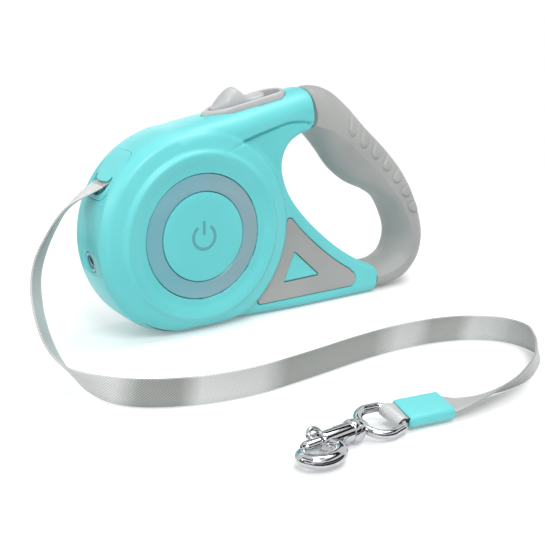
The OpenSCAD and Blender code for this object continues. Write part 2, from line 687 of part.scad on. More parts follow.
tape_width = curve([for (p = tape_route) p[1]], tape_steps);
tape_shape = [[1, 0], [0.95, 1], [0, 1], [-0.95, 1], [-1, 0], [-0.95, -1], [0, -1], [0.95, -1]];
module tape() color("lightgray") {
    rows = len(tape_line);
    n = len(tape_shape);
    points = [for (k = [0 : rows - 1])
        let(d = k == 0 ? mouth_dir : k == rows - 1 ? sleeve_dir
                : unit(tape_line[k + 1] - tape_line[k - 1]),
            flat = cross(d, tape_width[k]), b = unit(flat), a = cross(b, d))
        each [for (q = tape_shape) tape_line[k] + a * q[0] * tape_w / 2 + b * q[1] * tape_t / 2]];
    skin = [for (k = [0 : rows - 2], j = [0 : n - 1])
        let(p = k * n + j, q = k * n + (j + 1) % n) each [[p, q, q + n], [p, q + n, p + n]]];
    first = [for (j = [1 : n - 2]) [0, j + 1, j]];
    end = (rows - 1) * n;
    last = [for (j = [1 : n - 2]) [end, end + j, end + j + 1]];
    polyhedron(points, concat(skin, first, last));
}

// Snap: x runs from the eye's bar towards the hook, y towards the hook's open side
snap_at = [5.2, -141.8, 4.4];
snap_yaw = 184.5;
eye_roll = 14;
hook_roll = 5;
module at_snap(roll) translate(snap_at) rotate([0, 0, snap_yaw]) rotate([-roll, 0, 0]) children();
module rod_x(r, x0, x1) translate([x0, 0, 0]) rotate([0, 90, 0]) cylinder(r = r, h = x1 - x0);
module bend(x, y, r, wire_r, from, sweep) translate([x, y, 0]) rotate([0, 0, from])
    rotate_extrude(angle = sweep) translate([r, 0]) circle(r = wire_r, $fn = 32);

// End sleeve over the sewn fold of the tape, with a pocket that the loop comes out of
sleeve_w = tape_w + 2.4;
sleeve_round = 1.4;
sleeve_skin = 0.7;
pocket_deep = 5.5;
module end_sleeve() color("mediumturquoise") translate(sleeve_mid) rotate([0, 0, sleeve_yaw])
    rotate([-sleeve_roll, 0, 0]) difference() {
        translate([-sleeve_len / 2, 0, 0]) rotate([90, 0, 90]) linear_extrude(sleeve_len)
            offset(r = sleeve_round, $fn = 24)
                square([sleeve_w - 2 * sleeve_round, sleeve_t - 2 * sleeve_round], center = true);
        brick(sleeve_len / 2 - pocket_deep, far, -sleeve_w / 2 + sleeve_skin, sleeve_w / 2 - sleeve_skin,
              -sleeve_t / 2 + sleeve_skin, sleeve_t / 2 - sleeve_skin);
    }
// Loop of the tape round the eye's bar, drawn from the side as a drop with a round hole
loop_in = eye_wire + 0.15;
loop_out = loop_in + 0.7;
loop_half = tape_w / 2 - 0.6;
loop_len = 6;
module tape_loop() color("lightgray") at_snap(eye_roll) slab(-loop_half, loop_half) difference() {
    hull() {
        circle(r = loop_out);
        translate([-loop_len, -tape_t * 0.8]) square([1, tape_t * 1.6]);
    }
    circle(r = loop_in);
}

// Swivel eye: a bar, two bends, two sides and a round end, with a headed post
eye_half = tape_w / 2 + 1.3;
eye_corner = 2.6;
eye_round = eye_half + eye_wire / 2;
eye_mid = 7;
collar_x = eye_mid + eye_round + 2.2;
collar_t = 1.6;
post_r = 1.9;
post_end = collar_x + collar_t + 2.3;
module swivel_eye() color("silver") at_snap(eye_roll) {
    rotate([90, 0, 0]) translate([0, 0, -eye_half + eye_corner])
        cylinder(r = eye_wire, h = 2 * (eye_half - eye_corner));
    for (k = [-1, 1]) {
        bend(eye_corner, k * (eye_half - eye_corner), eye_corner, eye_wire, k > 0 ? 90 : 180, 90);
        hull() {
            translate([eye_corner, k * eye_half, 0]) sphere(r = eye_wire, $fn = 24);
            translate([eye_mid, k * eye_round, 0]) sphere(r = eye_wire, $fn = 24);
        }
    }
    bend(eye_mid, 0, eye_round, eye_wire, -90, 180);
    rod_x(2.4, eye_mid + eye_round - 0.6, collar_x + 0.2);
    rod_x(barrel_r - 0.1, collar_x, collar_x + collar_t);
    rod_x(post_r, collar_x + collar_t - 0.2, post_end);
    rod_x(post_r + 0.9, post_end - 0.1, post_end + 1);
}

// Snap body: a bored barrel that carries the hook
barrel_x = collar_x + collar_t + 0.25;
barrel_end = barrel_x + 16;
head_room = post_end + 1.3;
bolt_x = head_room + bolt_travel + 1.5;
bolt_tip = bolt_x + 13.4;
hook_x = bolt_tip - 3.8;
tip_angle = -50;
root_angle = 226;
knob_x = bolt_tip - 3.4;
knob_roll = 45;
gusset_t = 2.6;
hook_steps = 28;
module snap_body() color("silver") at_snap(hook_roll) difference() {
    union() {
        rod_x(barrel_r, barrel_x, barrel_end);
        wire([for (p = arc(0, 0, 1, tip_angle, root_angle, hook_steps))
              [hook_x + hook_r * p[0], hook_side * (1 + p[1]), 0]], hook_wire, 12);
        translate([0, 0, -gusset_t / 2]) linear_extrude(gusset_t)
            polygon([[barrel_x + 5, 0], [hook_x - hook_r, hook_side + 1], [hook_x - hook_r + 2, 0]]);
    }
    rod_x(post_r + run_fit, 0, head_room);
    rod_x(post_r + 1.2, post_end - 0.4, head_room);
    rod_x(bolt_r + run_fit, head_room - 0.1, bolt_tip + 0.4);
    rotate([knob_roll, 0, 0]) brick(knob_x - bolt_travel - 1.7, bolt_tip, -1.6, 1.6, 0, barrel_r + cut);
}
module snap_bolt() color("silver") at_snap(hook_roll) {
    rod_x(bolt_r, bolt_x, bolt_tip);
    rotate([knob_roll, 0, 0]) translate([knob_x, 0, 0]) {
        cylinder(r = 1.2, h = barrel_r + 1.6);
        translate([0, 0, barrel_r + 1.8]) sphere(r = 1.9);
    }
}
module bolt_spring() color("silver") at_snap(hook_roll) rotate([0, 90, 0])
    translate([0, 0, head_room + coil_wire])
    wire(coil(4, bolt_r - coil_wire - 0.1, bolt_x - head_room - 2 * coil_wire - 0.1), 0.25, 6);

left_shell();
right_shell();
left_grip();
right_grip();
left_inlay();
right_inlay();
casing_screws();
tape_guide();
front_lens();
front_lamp();
brake_bezel();
brake_button();
brake_lever();
brake_pin();
brake_spring();
light_ring();
power_button();
switch_stem();
key_switch();
light_board();
ring_leds();
coin_cell();
cell_holder();
reel_drum();
reel_cover();
mainspring();
reel_axle();
axle_screw();
tape_winding();
tape_lead();
tape();
tape_loop();
end_sleeve();
swivel_eye();
snap_body();
snap_bolt();
bolt_spring();
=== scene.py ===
from math import copysign, cos, exp, hypot, pi, radians, sin, sqrt

import bmesh
import bpy
import numpy as np
from mathutils import Matrix, Vector
from mathutils.geometry import delaunay_2d_cdt


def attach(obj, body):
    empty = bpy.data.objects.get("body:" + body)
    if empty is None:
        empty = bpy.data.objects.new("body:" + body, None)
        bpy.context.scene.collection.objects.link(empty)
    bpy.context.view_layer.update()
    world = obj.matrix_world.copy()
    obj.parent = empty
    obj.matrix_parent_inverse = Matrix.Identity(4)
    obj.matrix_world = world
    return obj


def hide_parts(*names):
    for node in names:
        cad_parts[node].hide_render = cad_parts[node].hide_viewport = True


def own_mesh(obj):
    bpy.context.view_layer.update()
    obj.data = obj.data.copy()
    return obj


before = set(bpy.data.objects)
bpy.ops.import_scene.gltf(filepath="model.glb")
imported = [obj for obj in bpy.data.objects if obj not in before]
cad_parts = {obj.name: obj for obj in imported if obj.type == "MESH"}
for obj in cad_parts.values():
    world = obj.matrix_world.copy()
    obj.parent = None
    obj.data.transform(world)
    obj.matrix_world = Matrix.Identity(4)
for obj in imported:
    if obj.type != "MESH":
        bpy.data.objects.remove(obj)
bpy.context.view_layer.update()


# Studio
# A white sweep of paper on a table, lit by the white room and four soft lamps.
# The camera stands in front of the mouth and a little above, as in the photograph.
class Wire:
    """A socket of a finish's nodes, on which sums are written as in Python."""

    def __init__(self, finish, socket):
        self.finish, self.socket = finish, socket

    def sum(self, how, a, b):
        return self.finish.maths(how, a, b)

    def __add__(self, other):
        return self.sum("ADD", self, other)

    def __radd__(self, other):
        return self.sum("ADD", other, self)

    def __sub__(self, other):
        return self.sum("SUBTRACT", self, other)

    def __rsub__(self, other):
        return self.sum("SUBTRACT", other, self)

    def __mul__(self, other):
        return self.sum("MULTIPLY", self, other)

    def __rmul__(self, other):
        return self.sum("MULTIPLY", other, self)

    def __truediv__(self, other):
        return self.sum("DIVIDE", self, other)

    def __rtruediv__(self, other):
        return self.sum("DIVIDE", other, self)


class Finish:
    """A material, or the world, and its nodes."""

    def __init__(self, name, world=None):
        self.material = world or bpy.data.materials.new(name)
        self.material.use_nodes = True
        self.tree = self.material.node_tree
        self.shader = self.tree.nodes["Background" if world else "Principled BSDF"]

    def feed(self, socket, value):
        if isinstance(value, Wire):
            self.tree.links.new(value.socket, socket)
        else:
            socket.default_value = value

    def node(self, kind, settings=None, sockets=None, out=0):
        made = self.tree.nodes.new(kind)
        for key, value in (settings or {}).items():
            if key == "stops":
                ramp = made.color_ramp.elements
                while len(ramp) < len(value):
                    ramp.new(0.5)
                for stop, (place, colour) in zip(ramp, value):
                    stop.position, stop.color = place, colour
            else:
                setattr(made, key, value)
        for key, value in (sockets or {}).items():
            self.feed(made.inputs[key], value)
        return Wire(self, made.outputs[out])

    def set(self, **values):
        for key, value in values.items():
            self.feed(self.shader.inputs[key.replace("_", " ")], value)
        return self

    def maths(self, how, *values):
        return self.node("ShaderNodeMath", {"operation": how}, dict(enumerate(values)))

    def place(self):
        """Object coordinates."""
        return self.node("ShaderNodeTexCoord", out="Object")

    def axes(self, vector):
        parts = self.node("ShaderNodeSeparateXYZ", None, {0: vector})
        return [Wire(self, s) for s in parts.socket.node.outputs]

    def noise(self, scale, detail=2.0, rough=0.5, at=None):
        """A noise, in object coordinates where no others are given."""
        return self.node("ShaderNodeTexNoise", None, {"Vector": at or self.place(), "Scale": scale,
                                                      "Detail": detail, "Roughness": rough})

    def range(self, value, a, b, c, d):
        return self.node("ShaderNodeMapRange", {"clamp": True, "interpolation_type": "SMOOTHSTEP"},
                         {0: value, 1: a, 2: b, 3: c, 4: d})

    def drift(self, grain, low, high):
        """A value that goes from low to high over the middle of a noise."""
        return self.range(grain, 0.3, 0.7, low, high)

    def mix(self, share, first, second):
        return self.node("ShaderNodeMix", {"data_type": "RGBA"}, {0: share, 6: first, 7: second}, out=2)

    def tint(self, grain, dark, light):
        """A colour that goes from one tone to another over the middle of a noise."""
        return self.mix(self.drift(grain, 0, 1), srgb(*dark), srgb(*light))

    def bump(self, height, depth, strength=1.0):
        return self.node("ShaderNodeBump", None, {"Height": height, "Distance": depth, "Strength": strength})


def srgb(r, g, b):
    """A colour written as it looks on a screen, from 0 to 255."""
    return tuple(c / 12.92 if c <= 0.04045 else ((c + 0.055) / 1.055) ** 2.4
                 for c in (r / 255, g / 255, b / 255)) + (1.0,)


def clear():
    if bpy.context.object and bpy.context.object.mode != "OBJECT":
        bpy.ops.object.mode_set(mode="OBJECT")
    bpy.ops.object.select_all(action="DESELECT")


def eyes_of(finish):
    """One for what the camera sees, straight, in a mirror or through glass, and nought for bounced light."""
    rays = finish.node("ShaderNodeLightPath").socket.node.outputs
    camera_ray, glossy_ray, glass_ray = (Wire(finish, rays["Is %s Ray" % kind])
                                         for kind in ("Camera", "Glossy", "Transmission"))
    return camera_ray + glossy_ray + glass_ray


clear()
bpy.ops.mesh.primitive_circle_add(vertices=96, radius=1.6, fill_type="NGON", location=(0.03, -0.06, -0.0003))
floor = bpy.context.object
floor.name = "floor"
paper = Finish("paper")
paper.set(Base_Color=srgb(232, 233, 233), Roughness=0.9, Specular_IOR_Level=0.0)
matt = Wire(paper, paper.shader.outputs[0])
lit = paper.node("ShaderNodeEmission", None, {"Color": (1, 1, 1, 1), "Strength": 0.22})
lifted = paper.node("ShaderNodeAddShader", None, {0: matt, 1: lit})
white = paper.node("ShaderNodeMixShader", None, {0: eyes_of(paper), 1: matt, 2: lifted})
away = paper.node("ShaderNodeVectorMath", {"operation": "LENGTH"}, {0: paper.place()}, out="Value")
gone = paper.node("ShaderNodeBsdfTransparent")
fade_from, fade_to = 0.22, 0.50
faded = paper.range(away, fade_from, fade_to, 0, 1)
sweep = paper.node("ShaderNodeMixShader", None, {0: faded, 1: white, 2: gone})
paper.feed(paper.tree.nodes["Material Output"].inputs["Surface"], sweep)
floor.data.materials.append(paper.material)

room = Finish("room", bpy.data.worlds.new("room"))
bpy.context.scene.world = room.material
level = room.node("ShaderNodeMapRange", None, {"Value": eyes_of(room), "To Min": 0.52, "To Max": 1.0})
room.set(Color=(1, 1, 1, 1), Strength=level)
bpy.context.scene.view_settings.view_transform = "Standard"


def towards(place, aim):
    """The turn that points a lamp, a card or the camera from its place at what it is aimed at."""
    return (Vector(aim) - Vector(place)).to_track_quat("-Z", "Y")


def lamp(name, place, aim, size, power):
    clear()
    bpy.ops.object.light_add(type="AREA", location=place)
    light = bpy.context.object
    light.name = name
    light.data.shape = "DISK"
    light.data.size = size
    light.data.energy = power
    light.rotation_euler = towards(place, aim).to_euler()


lamp("key_lamp", (-0.25, -0.75, 0.95), (0.04, 0, 0.05), 0.55, 6.4)
lamp("top_lamp", (0.35, -0.10, 1.05), (0.04, 0, 0.05), 0.60, 4.2)
lamp("back_lamp", (0.30, 0.95, 0.55), (0.03, -0.05, 0.05), 0.70, 1.6)
lamp("side_lamp", (-0.95, -0.15, 0.45), (0.0, 0, 0.05), 0.50, 2.5)

# Black cards round the set, which only polished surfaces show. Those at height nought lie flat,
# and the rest face the snap
snap_spot = (-0.02, -0.145, 0.005)
soot = Finish("soot")
soot.set(Base_Color=(0.004, 0.004, 0.004, 1), Roughness=0.9)
for k, (place, size) in enumerate((
        ((0.12, -0.36, 0.047), (0.40, 0.092)), ((0.15, -0.30, 0.24), (0.34, 0.090)),
        ((0.16, -0.05, 0.26), (0.34, 0.060)), ((-0.24, -0.22, 0.12), (0.20, 0.080)),
        ((-0.10, -0.42, 0.04), (0.20, 0.070)), ((-0.30, -0.10, 0.05), (0.18, 0.090)),
        ((0.25, -1.15, 0.30), (0.60, 0.20)), ((-1.05, 0.05, 0.22), (0.60, 0.16)),
        ((0.07, 0.05, 0.14), (0.30, 0.030)), ((-0.01, -0.18, 0.16), (0.10, 0.030)),
        ((-0.09, -0.16, 0.11), (0.12, 0.030)), ((0.02, -0.205, 0.0), (0.26, 0.085)),
        ((-0.010, -0.1300, 0.0), (0.080, 0.012)), ((-0.100, -0.150, 0.0), (0.085, 0.080)),
        ((-0.15, 0.15, 0.0), (0.15, 0.22)))):
    clear()
    bpy.ops.mesh.primitive_plane_add(size=1)
    card = bpy.context.object
    card.name = "black_card_%d" % k
    look = Matrix()
    if place[2] != 0:
        look = towards(place, snap_spot).to_matrix().to_4x4()
    card.data.transform(Matrix.Translation(place) @ look @ Matrix.Diagonal((size[0], size[1], 1, 1)))
    card.data.materials.append(soot.material)
    card.visible_camera = card.visible_diffuse = card.visible_shadow = False

camera_place, camera_aim = (-0.2147, -0.3924, 0.1553), (0.0476, -0.0006, 0.0168)
clear()
bpy.ops.object.camera_add(location=camera_place)
camera = bpy.context.object
camera.data.sensor_width = 36.0
camera.data.lens = 66.06
camera.data.clip_start = 0.01
camera.rotation_euler = towards(camera_place, camera_aim).to_euler()
bpy.context.scene.camera = camera


# Tape
# A flat tape of grey polyester, woven as a fine twill with a satin sheen, and with bright and dull bands of
# painted sheen along it. It leaves the mouth, falls, turns on edge, runs round in front of the casing and
# twists flat again into its end sleeve.
MM = 0.001
tape_wide, tape_thick = 11.5, 0.9


def blend(a, b, c, d, t):
    """A point between b and c on a smooth curve through a, b, c and d."""
    return (2 * b + (c - a) * t + (2 * a - 5 * b + 4 * c - d) * t * t
            + (3 * b - a - 3 * c + d) * t * t * t) / 2


def curve(points, n):
    """A smooth curve through points, with n steps between two of them."""
    p = [np.array(q, float) for q in points]
    last = len(p) - 1
    made = [blend(p[max(i - 1, 0)], p[i], p[i + 1], p[min(i + 2, last)], k / n)
            for i in range(last) for k in range(n)]
    return made + [p[last]]


def unit(v):
    return v / np.linalg.norm(v)


def pick(made):
    clear()
    made.select_set(True)
    bpy.context.view_layer.objects.active = made


def edit(made):
    """Opens all of a mesh in Edit Mode."""
    pick(made)
    bpy.ops.object.mode_set(mode="EDIT")
    bpy.ops.mesh.select_all(action="SELECT")


def close_up(made, angle=35):
    """Merges doubles, drops loose edges, turns the faces outwards and smooths all but the sharp edges."""
    edit(made)
    bpy.ops.mesh.remove_doubles(threshold=1e-6)
    bpy.ops.mesh.delete_loose()
    bpy.ops.mesh.select_all(action="SELECT")
    bpy.ops.mesh.normals_make_consistent(inside=False)
    bpy.ops.object.mode_set(mode="OBJECT")
    solid = bmesh.new()
    solid.from_mesh(made.data)
    if solid.calc_volume(signed=True) < 0:
        made.data.flip_normals()
    solid.free()
    bpy.ops.object.shade_smooth_by_angle(angle=radians(angle))
    return made


def mesh_of(name, points, faces):
    """A new object from corners in mm."""
    made = bpy.data.objects.new(name, bpy.data.meshes.new(name))
    made.data.from_pydata([tuple(np.asarray(p, float) * MM) for p in points], [], faces)
    bpy.context.scene.collection.objects.link(made)
    return made


def skin(name, rings, closed=False, angle=35):
    """A skin over rings of as many points each, joined end to end if it is closed, and capped if not."""
    n, rows = len(rings[0]), len(rings)
    faces = [(k * n + j, k * n + (j + 1) % n, (k + 1) % rows * n + (j + 1) % n, (k + 1) % rows * n + j)
             for k in range(rows if closed else rows - 1) for j in range(n)]
    if not closed:
        faces += [tuple(range(n)), tuple((rows - 1) * n + j for j in range(n))]
    return close_up(mesh_of(name, [q for ring in rings for q in ring], faces), angle)


def ribbon(name, line, width, wide, thick, first, last):
    """A woven strip along a line, with a UV map in widths of the strip, across and along it."""
    section = [(1, 0), (0.985, 0.7), (0.94, 1), (0.5, 1.04), (0, 1.06), (-0.5, 1.04), (-0.94, 1),
               (-0.985, 0.7)]
    section += [(-a, -b) for a, b in section]
    rings, along = [], [0.0]
    for k, p in enumerate(line):
        d = first if k == 0 else last if k == len(line) - 1 else unit(line[k + 1] - line[k - 1])
        b = unit(np.cross(d, width[k]))
        a = np.cross(b, d)
        rings.append([p + a * u * wide / 2 + b * v * thick / 2 for u, v in section])
        along.append(along[-1] + (np.linalg.norm(line[k + 1] - p) / wide if k < len(line) - 1 else 0))
    made = skin(name, rings, angle=50)
    layer, n = made.data.uv_layers.new(name="weave"), len(section)
    for loop in made.data.loops:
        row, j = divmod(loop.vertex_index, n)
        layer.data[loop.index].uv = (section[j][0] / 2 + 0.5, along[row])
    return made


def dress(made, finish, body=None, nodes=()):
    """Gives a piece its finish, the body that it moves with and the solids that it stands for."""
    made.data.materials.clear()
    made.data.materials.append(finish.material)
    if body:
        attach(made, body)
    if nodes:
        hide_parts(*nodes)
    return made


run_tilt = radians(22.8)
mouth_dir = np.array((-cos(run_tilt), 0, -sin(run_tilt)))
run_r, mouth_r, axis_h = 39.9, 49.5, 45.0
mouth_s = sqrt(mouth_r ** 2 - run_r ** 2)
mouth_pt = np.array((-mouth_s * cos(run_tilt) - run_r * sin(run_tilt), 0,
                     axis_h - mouth_s * sin(run_tilt) + run_r * cos(run_tilt)))
sleeve_mid, sleeve_len = np.array((18.4, -143.4, 4.3)), 20.0
sleeve_yaw, sleeve_roll = radians(171), radians(10)
sleeve_dir = np.array((cos(sleeve_yaw), sin(sleeve_yaw), 0))
sleeve_wide = np.array((-sin(sleeve_yaw), cos(sleeve_yaw), -sin(sleeve_roll)))
sleeve_in = sleeve_mid - sleeve_dir * sleeve_len / 2
edge_h = tape_wide / 2 + 0.2
# The points lie within about a millimetre of the part's source. Each has the direction of the tape's width
tape_route = [
    (mouth_pt, (0, 1, 0)), (mouth_pt + 10 * mouth_dir - (0, 0, 1.2), (-0.04, 0.95, -0.3)),
    ((-61, -4, 60), (0.13, 0.8, -0.59)), ((-69, -8, 52), (0.28, 0.73, -0.62)),
    ((-76, -13, 42.5), (0.44, 0.62, -0.65)), ((-80, -20, 33), (0.56, 0.53, -0.64)),
    ((-82, -29, 24), (0.61, 0.51, -0.61)), ((-82, -38, 16), (0.62, 0.51, -0.6)),
    ((-80, -48, 10), (0.56, 0.47, -0.68)), ((-76, -58, 7), (0.3, 0.32, -0.9)),
    ((-69, -69, edge_h), (0.03, 0.07, -1)), ((-58, -79, edge_h), (0, 0, -1)),
    ((-40, -86.5, edge_h), (0, 0, -1)), ((-18, -89.5, edge_h), (0, 0, -1)),
    ((8, -87.5, edge_h), (0, 0, -1)), ((36, -84, edge_h), (0, 0, -1)),
    ((60, -83, edge_h), (0, 0, -1)), ((80, -86, edge_h), (0, 0, -1)),
    ((94, -92, edge_h), (0, 0, -1)), ((103, -101.5, edge_h), (0, 0, -1)),
    ((105, -113, edge_h), (0.08, 0, -1)), ((100.5, -123, edge_h), (0.22, -0.16, -0.96)),
    ((90, -132.5, 6.0), (0.05, -0.02, -1)), ((77, -140.5, 5.8), (-0.08, 0.25, -0.97)),
    ((63, -144.5, 4.9), (-0.1, 0.62, -0.78)), ((50, -145.8, 4.4), (0, 0.84, -0.55)),
    (sleeve_in - 8 * sleeve_dir, (0.04, 0.97, -0.2)), (sleeve_in, -sleeve_wide)]
tape_line = curve([p for p, w in tape_route], 10)
tape_width = curve([w for p, w in tape_route], 10)
tape = ribbon("tape_free", tape_line, tape_width, tape_wide, tape_thick, mouth_dir, sleeve_dir)

cloth = Finish("twill_tape")
across, along, _ = cloth.axes(cloth.node("ShaderNodeUVMap", {"uv_map": "weave"}))
twills_in_width, picks_in_width = 9, 22
twill = cloth.maths("SINE", (across * 1.2 + along) * (2 * pi * twills_in_width))
picks = cloth.maths("SINE", (along - across * 0.1) * (2 * pi * picks_in_width))
weave = twill * 0.38 + picks * 0.2 + 0.5
selvage = cloth.range(cloth.maths("ABSOLUTE", across - 0.5), 0.44, 0.465, 0, 1)
stretched = cloth.node("ShaderNodeCombineXYZ", None, {0: along * 0.8, 1: across * 0.6, 2: 3.7})
wander = cloth.noise(1.0, at=stretched)
# How bright the painted sheen lies along the run: bands of painted highlight and painted shade where the
# satin would catch or miss the light. The run's length is given in widths of the tape
widths_in_run = 35.35
painted_sheen_stops = [(v, (g, g, g, 1)) for v, g in (
    (0.0, 0.9), (0.045, 0.8), (0.075, 0.2), (0.11, 0.3), (0.16, 0.7), (0.20, 0.5), (0.245, 0.75),
    (0.295, 0.9), (0.318, 0.1), (0.355, 0.1), (0.375, 0.95), (0.44, 0.85), (0.47, 0.15), (0.59, 0.2),
    (0.625, 0.9), (0.645, 0.8), (0.665, 0.25), (0.70, 0.3), (0.715, 0.85), (0.735, 0.7), (0.76, 0.35),
    (0.80, 0.3), (0.94, 0.25), (1.0, 0.6))]
painted_sheen = cloth.node("ShaderNodeValToRGB", {"stops": painted_sheen_stops},
                   {0: along / widths_in_run + across * 0.004 + wander * 0.012 - 0.008})
# The weave in painted shade and in painted highlight, mixed by the painted sheen bands
painted_shade_weave = cloth.mix(weave, srgb(112, 115, 112), srgb(154, 157, 153))
painted_highlight_weave = cloth.mix(weave, srgb(186, 188, 187), srgb(224, 226, 225))
cloth.set(Base_Color=cloth.mix(painted_sheen, painted_shade_weave, painted_highlight_weave),
          Metallic=0.2, Roughness=cloth.range(weave, 0, 1, 0.46, 0.34),
          Normal=cloth.bump(weave + selvage * 0.6, 0.00010, 0.5), Sheen_Weight=0.25, Sheen_Roughness=0.4)
dress(tape, cloth, "casing", ["tape"])
tape_length = sum(np.linalg.norm(b - a) for a, b in zip(tape_line, tape_line[1:])) * MM

# The stretch of tape from the mouth in to the winding
lead = ribbon("tape_to_reel", [mouth_pt - mouth_dir * (mouth_s - 0.2) * (1 - k / 12) for k in range(13)],
              [np.array((0, 1.0, 0))] * 13, tape_wide, tape_thick, mouth_dir, mouth_dir)
dress(lead, cloth, "casing", ["tape_lead"])


# Casing halves
# Two shells of turquoise plastic, moulded with a raised ring round the light, a rail along the top
# and a web down to the foot. They meet on the parting plane and are screwed from the right side.
rail_tilt, rail_top = radians(11.3), 48.2


def rail_pt(s, t):
    """A point of the side view, s along the rail and t square to it, both from the reel's axis."""
    return np.array((s * cos(rail_tilt) - t * sin(rail_tilt),
                     axis_h + s * sin(rail_tilt) + t * cos(rail_tilt)))


def finish_with(made, kind, **settings):
    """Adds a modifier and applies it."""
    pick(made)
    step = made.modifiers.new(kind.lower(), kind)
    for key, value in settings.items():
        setattr(step, key, value)
    bpy.ops.object.modifier_apply(modifier=step.name)
    return made


def carve(made, *tools):
    for tool in tools:
        finish_with(made, "BOOLEAN", operation="DIFFERENCE", solver="EXACT", object=tool)
        bpy.data.objects.remove(tool)
    return made


def loop_of(name, points, fill):
    """A circle whose corners are put on the given points, in mm."""
    clear()
    bpy.ops.mesh.primitive_circle_add(vertices=len(points), fill_type=fill)
    made = bpy.context.object
    made.name = made.data.name = name
    for v, p in zip(made.data.vertices, points):
        v.co = Vector(p) * MM
    return made


def block_on(name, outline, way):
    """A flat outline of points in mm, extruded a way in mm to a closed block."""
    made = loop_of(name, outline, "NGON")
    edit(made)
    bpy.ops.mesh.extrude_region_move(TRANSFORM_OT_translate={"value": tuple(Vector(way) * MM)})
    bpy.ops.object.mode_set(mode="OBJECT")
    return close_up(made)


def put(made, matrix):
    """Moves a mesh made about the origin to its place, given in mm."""
    matrix = matrix.copy()
    matrix.translation = matrix.translation * MM
    made.data.transform(matrix)
    return made


def turned(angle, axis):
    return Matrix.Rotation(radians(angle), 4, axis)


def lathe(name, profile, place, steps=96, angle=35):
    """A closed profile of (radius, height) in mm, turned about the local Z axis."""
    made = loop_of(name, [(r, 0, h) for r, h in profile], "NOTHING")
    edit(made)
    bpy.ops.mesh.spin(steps=steps, angle=2 * pi, center=(0, 0, 0), axis=(0, 0, 1))
    bpy.ops.object.mode_set(mode="OBJECT")
    put(made, place)
    return close_up(made, angle)


def bar(name, r, place, length, steps=48):
    """A plain round tool for cutting."""
    return lathe(name, [(0, 0), (r, 0), (r, length), (0, length)], place, steps)


# Local Z of these frames points out of the lit or the plain face, along the reel's axis
at_axis = Matrix.Translation((0, 0, axis_h))
lit_side, plain_side = at_axis @ turned(90, "X"), at_axis @ turned(-90, "X")
casing_r, face_h, plate_h, parting = 48.5, 17.0, 12.2, 0.04

hole_edge = curve([(60.6, 86.3), (57, 85.6), (51, 82.3), (47.3, 77), (46.2, 70), (48.2, 62), (52.5, 54),
                   (60, 44.8), (70, 35.2), (80, 27), (90, 20.3), (97.5, 16.4), (101.2, 15.0)], 6)
foot_edge = curve([(101.2, 15.0), (104.2, 11.8), (104.9, 8.0), (104.4, 4.0), (103.4, 0)], 4)
base_edge = [(x, 0.0) for x in np.linspace(103.4, -6.0, 68)]
base_edge += curve([(-6.0, 0.0), (-12.0, 0.25), (-18.5, 1.6), (-24.3, 3.6), (-29.2, 6.27)], 4)[1:]
drum_edge = [(casing_r * cos(a), axis_h + casing_r * sin(a))
             for a in np.linspace(radians(233), radians(104), 84)]
rail_edge = [rail_pt(s, rail_top) for s in np.linspace(4, 67, 38)]
tongue_edge = curve([rail_pt(67, rail_top), rail_pt(71, 47.9), rail_pt(74.0, 46.9), (63.0, 101.5),
                     (62.8, 98.0), (63.4, 94.5), (63.2, 90), (60.6, 86.3)], 4)
casing_outline = (hole_edge[:-1] + foot_edge[:-1] + base_edge[:-1] + drum_edge + rail_edge[:-1]
                  + tongue_edge[:-1])
groove_line = curve([(13.6, 81.8), (20.1, 83.8), (30.4, 86.8), (40.9, 89.4), (48.8, 91.2), (56, 91.2),
                     (62, 90)], 6)


def reach(points, line):
    """How far each point lies from a polyline, and on which side of it."""
    best, side = np.full(len(points), 1e9), np.zeros(len(points))
    line = np.array(line)
    for a, b in zip(line, line[1:]):
        d = b - a
        t = np.clip(((points - a) @ d) / (d @ d), 0, 1)
        gap = points - a - t[:, None] * d
        far = np.hypot(gap[:, 0], gap[:, 1])
        near = far < best
        best = np.where(near, far, best)
        side = np.where(near, np.sign(d[0] * gap[:, 1] - d[1] * gap[:, 0]), side)
    return best, side


def ease(x, a, b):
    t = np.clip((x - a) / (b - a), 0, 1)
    return t * t * (3 - 2 * t)


def shoulder(d, r):
    """How far a rounded edge of radius r falls at a distance d from its foot."""
    q = np.clip(r - d, 0, None)
    return r - np.sqrt(np.clip(r * r - q * q, 0, None))


def face_height(points):
    """Height of the moulded side face above the parting plane."""
    r = np.hypot(points[:, 0], points[:, 1] - axis_h)
    ring_rise, ledge_drop, ledge_r, soft = 1.5, 1.9, 39.9, 0.2
    rise = face_h + ring_rise * ease(r, 30.5, 36.8)
    ledge = face_h + ring_rise - ledge_drop * ease(r, 37.3, ledge_r) - 0.24 * np.clip(r - ledge_r, 0, None)
    edge = 15.0 - 1.3 * (r - 45.7)
    dome = -soft * np.logaddexp(-np.minimum(rise, ledge) / soft, -edge / soft)
    gap, side = reach(points, groove_line)
    x = points[:, 0]
    above = ease(side * gap, -0.3, 1.5) * ease(x, -34, 8) * (r > 38) * (points[:, 1] > axis_h)
    web = plate_h + above * (0.7 + 2.0 * (1 - ease(x, 10, 62)))
    fillet = 1.6
    mixed = np.clip(0.5 + 0.5 * (dome - web) / fillet, 0, 1)
    height = web * (1 - mixed) + dome * mixed + fillet * mixed * (1 - mixed)
    height -= ease(x, 12, 30) * np.exp(-(gap / 0.62) ** 2)
    rim = reach(points, drum_edge + rail_edge + tongue_edge[:9])[0]
    rear = ease(x, -44, 26) * (points[:, 1] > axis_h)
    deep, wide = 1.6 + 7.4 * rear, 1.6 + 9.8 * rear
    height -= wide * (1 - np.sqrt(np.clip(1 - np.clip(1 - rim / deep, 0, 1) ** 2, 0, None)))
    height -= shoulder(reach(points, base_edge)[0], 8.0 - 3.5 * ease(x, 10, 60))
    height -= shoulder(reach(points, hole_edge)[0], 2.6)
    height -= shoulder(reach(points, foot_edge)[0], 0.8)
    height -= shoulder(reach(points, tongue_edge[8:])[0], 0.8)
    return np.clip(height, 1.0, None)


